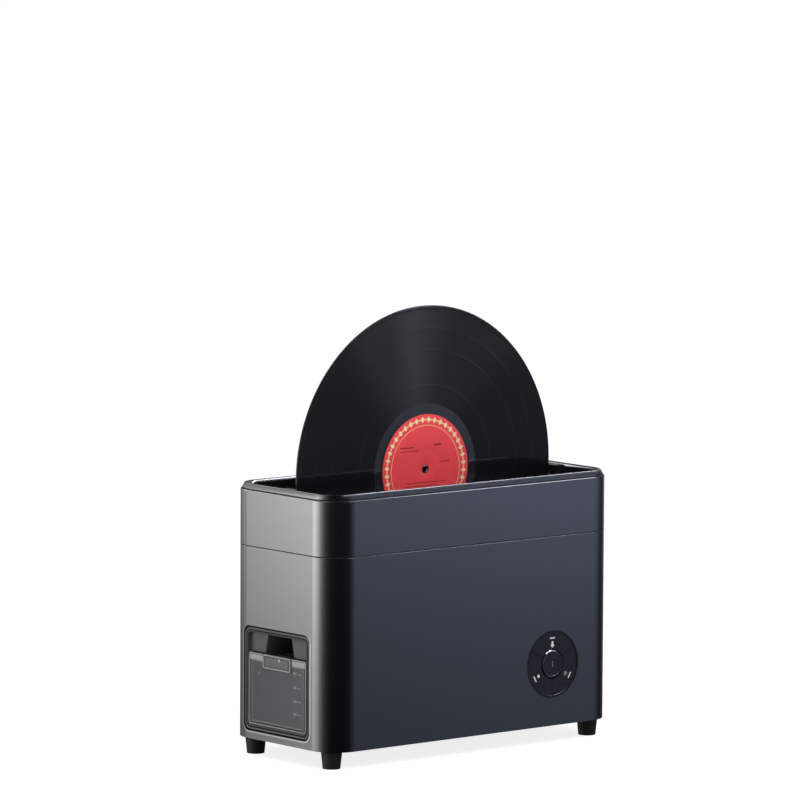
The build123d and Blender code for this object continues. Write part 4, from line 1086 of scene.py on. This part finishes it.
# 1 where the view, a reflection or clear plastic looks at it, and 0 where it only gives light
def lightPathFactor(tree):
    path = addNode(tree, "LightPath")
    seen = calc(tree, "MAXIMUM", path.outputs["Is Camera Ray"], path.outputs["Is Glossy Ray"])
    return calc(tree, "MAXIMUM", seen, path.outputs["Is Transmission Ray"])


def onlyInReflections(piece):
    for ray in ("camera", "diffuse", "transmission", "volume_scatter", "shadow"):
        setattr(piece, "visible_" + ray, False)


def makeFloor():
    count = room["steps"]
    r = room["floorRadius"] * np.linspace(0, 1, 5)[1:] ** 2
    points = turnedPoints(wholeTurn(count), r, 0.0)[..., [0, 2, 1]]
    verts = np.vstack([points.reshape(-1, 3), [[0, 0, 0]]])
    faces = gridFaces(count, len(r), closeU=True)[:, ::-1].tolist()
    faces += poleFaces(count, len(r), len(verts) - 1).tolist()
    floor = meshFrom("floor", verts, faces, smooth=False)
    mat, tree, shader = newMaterial("floorPaint")
    tree.nodes.remove(shader)
    plain = addNode(tree, "BsdfDiffuse", {"Color": (0.8, 0.8, 0.8, 1)})
    shown = addNode(tree, "BsdfDiffuse", {"Color": (*[room["floorPaint"]] * 3, 1)})
    glow = addNode(tree, "Emission", {"Color": (1, 1, 1, 1), "Strength": room["floorGlow"]})
    added = addNode(tree, "AddShader")
    mix = addNode(tree, "MixShader")
    for out, socket in ((shown.outputs[0], added.inputs[0]), (glow.outputs[0], added.inputs[1]),
                        (lightPathFactor(tree), mix.inputs[0]), (plain.outputs[0], mix.inputs[1]),
                        (added.outputs[0], mix.inputs[2])):
        put(tree, out, socket)
    put(tree, mix.outputs[0], tree.nodes["Material Output"].inputs["Surface"])
    finish(floor, mat)
    floor.visible_glossy = False


# a material that only glows, and its glow
def newGlow(name):
    mat, tree, shader = newMaterial(name)
    tree.nodes.remove(shader)
    glow = addNode(tree, "Emission")
    put(tree, glow.outputs[0], tree.nodes["Material Output"].inputs["Surface"])
    return mat, tree, glow


# soft screens that only reflections see, a closed drum round the object:
# radius = R |cos v|^0.25, height = middle + reach |sin v|^0.9 with the sign of v
def makeScreens():
    v = np.linspace(-math.pi / 2, math.pi / 2, 33)
    middle = (room["tentHigh"] + room["tentLow"]) / 2
    reach = (room["tentHigh"] - room["tentLow"]) / 2
    radius = room["tentRadius"] * np.abs(np.cos(v)) ** 0.25
    height = middle + reach * np.sign(np.sin(v)) * np.abs(np.sin(v)) ** 0.9
    points = turnedPoints(wholeTurn(room["steps"]), radius, height)[..., [0, 2, 1]]
    screens = gridPiece("screens", points, closeU=True)
    mat, tree, glow = newGlow("screenLight")
    x, y, z = split(tree, objectPlace(tree))
    bearing = calc(tree, "ARCTAN2", calc(tree, "MULTIPLY", y, -1.0), calc(tree, "MULTIPLY", x, -1.0))
    share = calc(tree, "ADD", calc(tree, "DIVIDE", bearing, 2 * math.pi), 0.5)
    colour = ramp(tree, share, [((a + 180) / 360, c) for a, c in surroundings], "EASE")
    level = spread(tree, z, 0.0, 1.0, room["tentLow"], room["tentHigh"])
    shares = [((h - room["tentLow"]) / (2 * reach), (k, k, k)) for h, k in surroundingHeights]
    put(tree, colour, glow.inputs["Color"])
    put(tree, ramp(tree, level, shares), glow.inputs["Strength"])
    finish(screens, mat)
    onlyInReflections(screens)


# bowed cards that only reflections see; each one's glow fades towards its edges
cards = {
    "streakCard": {"from": (0, 0, 0.25), "towards": (0.49, -0.41, 0.77), "distance": 1.35,
                   "size": (0.56, 0.27), "turn": -58, "bow": 0.04, "glow": 15.0,
                   "colour": (0.98, 0.98, 1.12), "fadeFrom": 0.5},
    "jointCard": {"from": (0, -0.07, 0.22), "towards": (0.67, -0.09, 0.735), "distance": 1.2,
                  "size": (0.26, 0.34), "turn": 0, "bow": 0.0, "glow": 4.5,
                  "colour": (0.97, 0.98, 1.05), "fadeFrom": 0.5},
    "ringCard": {"from": (0, 0, 0.1), "towards": (0.10, -0.54, 0.83), "distance": 1.35,
                 "size": (0.50, 0.32), "turn": 0, "bow": 0.04, "glow": 5.5,
                 "colour": (1.0, 1.0, 1.03), "fadeFrom": 0.4},
    "arcCard": {"from": (0.13, -0.07, 0.1), "towards": (0.70, -0.29, 0.65), "distance": 0.9,
                "size": (0.72, 0.11), "turn": -37, "bow": 0.05, "glow": 1.8,
                "colour": (1.0, 1.0, 1.03), "fadeFrom": 0.4},
    "rearCard": {"from": (0, 0, 0.2), "towards": (-0.14, 0.77, 0.62), "distance": 0.95,
                 "size": (0.36, 0.5), "turn": 0, "bow": 0.03, "glow": 4.0,
                 "colour": (1.0, 1.0, 1.0), "fadeFrom": 0.6},
    "rimCard": {"from": (0.02, 0.085, 0.2475), "towards": (0.636, -0.174, 0.752), "distance": 0.35,
                "size": (0.075, 0.34), "turn": 0, "bow": 0.0, "glow": 12.0,
                "colour": (1.0, 1.0, 1.0), "fadeFrom": 0.8},
}


def makeCard(name, c):
    u, v = np.meshgrid(np.linspace(-1, 1, 25), np.linspace(-1, 1, 25), indexing="ij")
    width, height = c["size"]
    flat = np.stack([u * width / 2, v * height / 2, -c["bow"] * (u * u + v * v)], -1)
    way = Vector(c["towards"]).normalized()
    side = Vector((0, 0, 1)).cross(way).normalized()
    up = way.cross(side)
    angle = math.radians(c["turn"])
    across = math.cos(angle) * side + math.sin(angle) * up
    turn = np.array([across, way.cross(across), way])
    centre = np.array(way * c["distance"] + Vector(c["from"]))
    piece = gridPiece(name, flat @ turn + centre)
    uv = piece.data.uv_layers.new(name="cardMap")
    loops = cornerVertices(piece.data)
    places = np.stack([u.ravel()[loops], v.ravel()[loops]], -1)
    uv.data.foreach_set("uv", places.astype(np.float32).ravel())
    mat, tree, glow = newGlow(name + "Glow")
    place = addNode(tree, "UVMap", uv_map="cardMap")
    fades = [spread(tree, calc(tree, "ABSOLUTE", part), 1.0, 0.0, c["fadeFrom"], 1.0)
             for part in split(tree, place.outputs["UV"])[:2]]
    setSockets(glow, {"Color": (*c["colour"], 1)})
    put(tree, allOf(tree, *fades, c["glow"]), glow.inputs["Strength"])
    finish(piece, mat)
    onlyInReflections(piece)


# way from the object, distance, size and radiance
lights = {
    "overhead": {"way": (0.15, -0.15, 0.97), "distance": 1.4, "size": (0.9, 0.9), "radiance": 2.0,
                 "colour": (1.0, 1.0, 1.0)},
    "frontLeft": {"way": (-0.42, -0.62, 0.66), "distance": 1.25, "size": (0.7, 0.6), "radiance": 6.5,
                  "colour": (1.0, 0.98, 0.95)},
}


def makeLight(name, light):
    data = bpy.data.lights.new(name, "AREA")
    data.shape = "RECTANGLE"
    data.size, data.size_y = light["size"]
    data.energy = light["radiance"] * math.pi * data.size * data.size_y
    data.color = light["colour"]
    lamp = bpy.data.objects.new(name, data)
    way = Vector(light["way"]).normalized()
    lamp.location = Vector(room["middle"]) + way * light["distance"]
    lamp.rotation_euler = way.to_track_quat("Z", "Y").to_euler()
    scene.collection.objects.link(lamp)
    lamp.visible_camera = False
    lamp.visible_glossy = False


def makeWorld():
    world = bpy.data.worlds.new("studio")
    scene.world = world
    world.use_nodes = True
    tree = world.node_tree
    colour = mixColour(tree, lightPathFactor(tree), (*[room["ambient"]] * 3, 1), (1, 1, 1, 1))
    put(tree, colour, tree.nodes["Background"].inputs["Color"])


makeFloor()
makeScreens()
for name, settings in cards.items():
    makeCard(name, settings)
makeWorld()
for name, light in lights.items():
    makeLight(name, light)
print("studio set up")
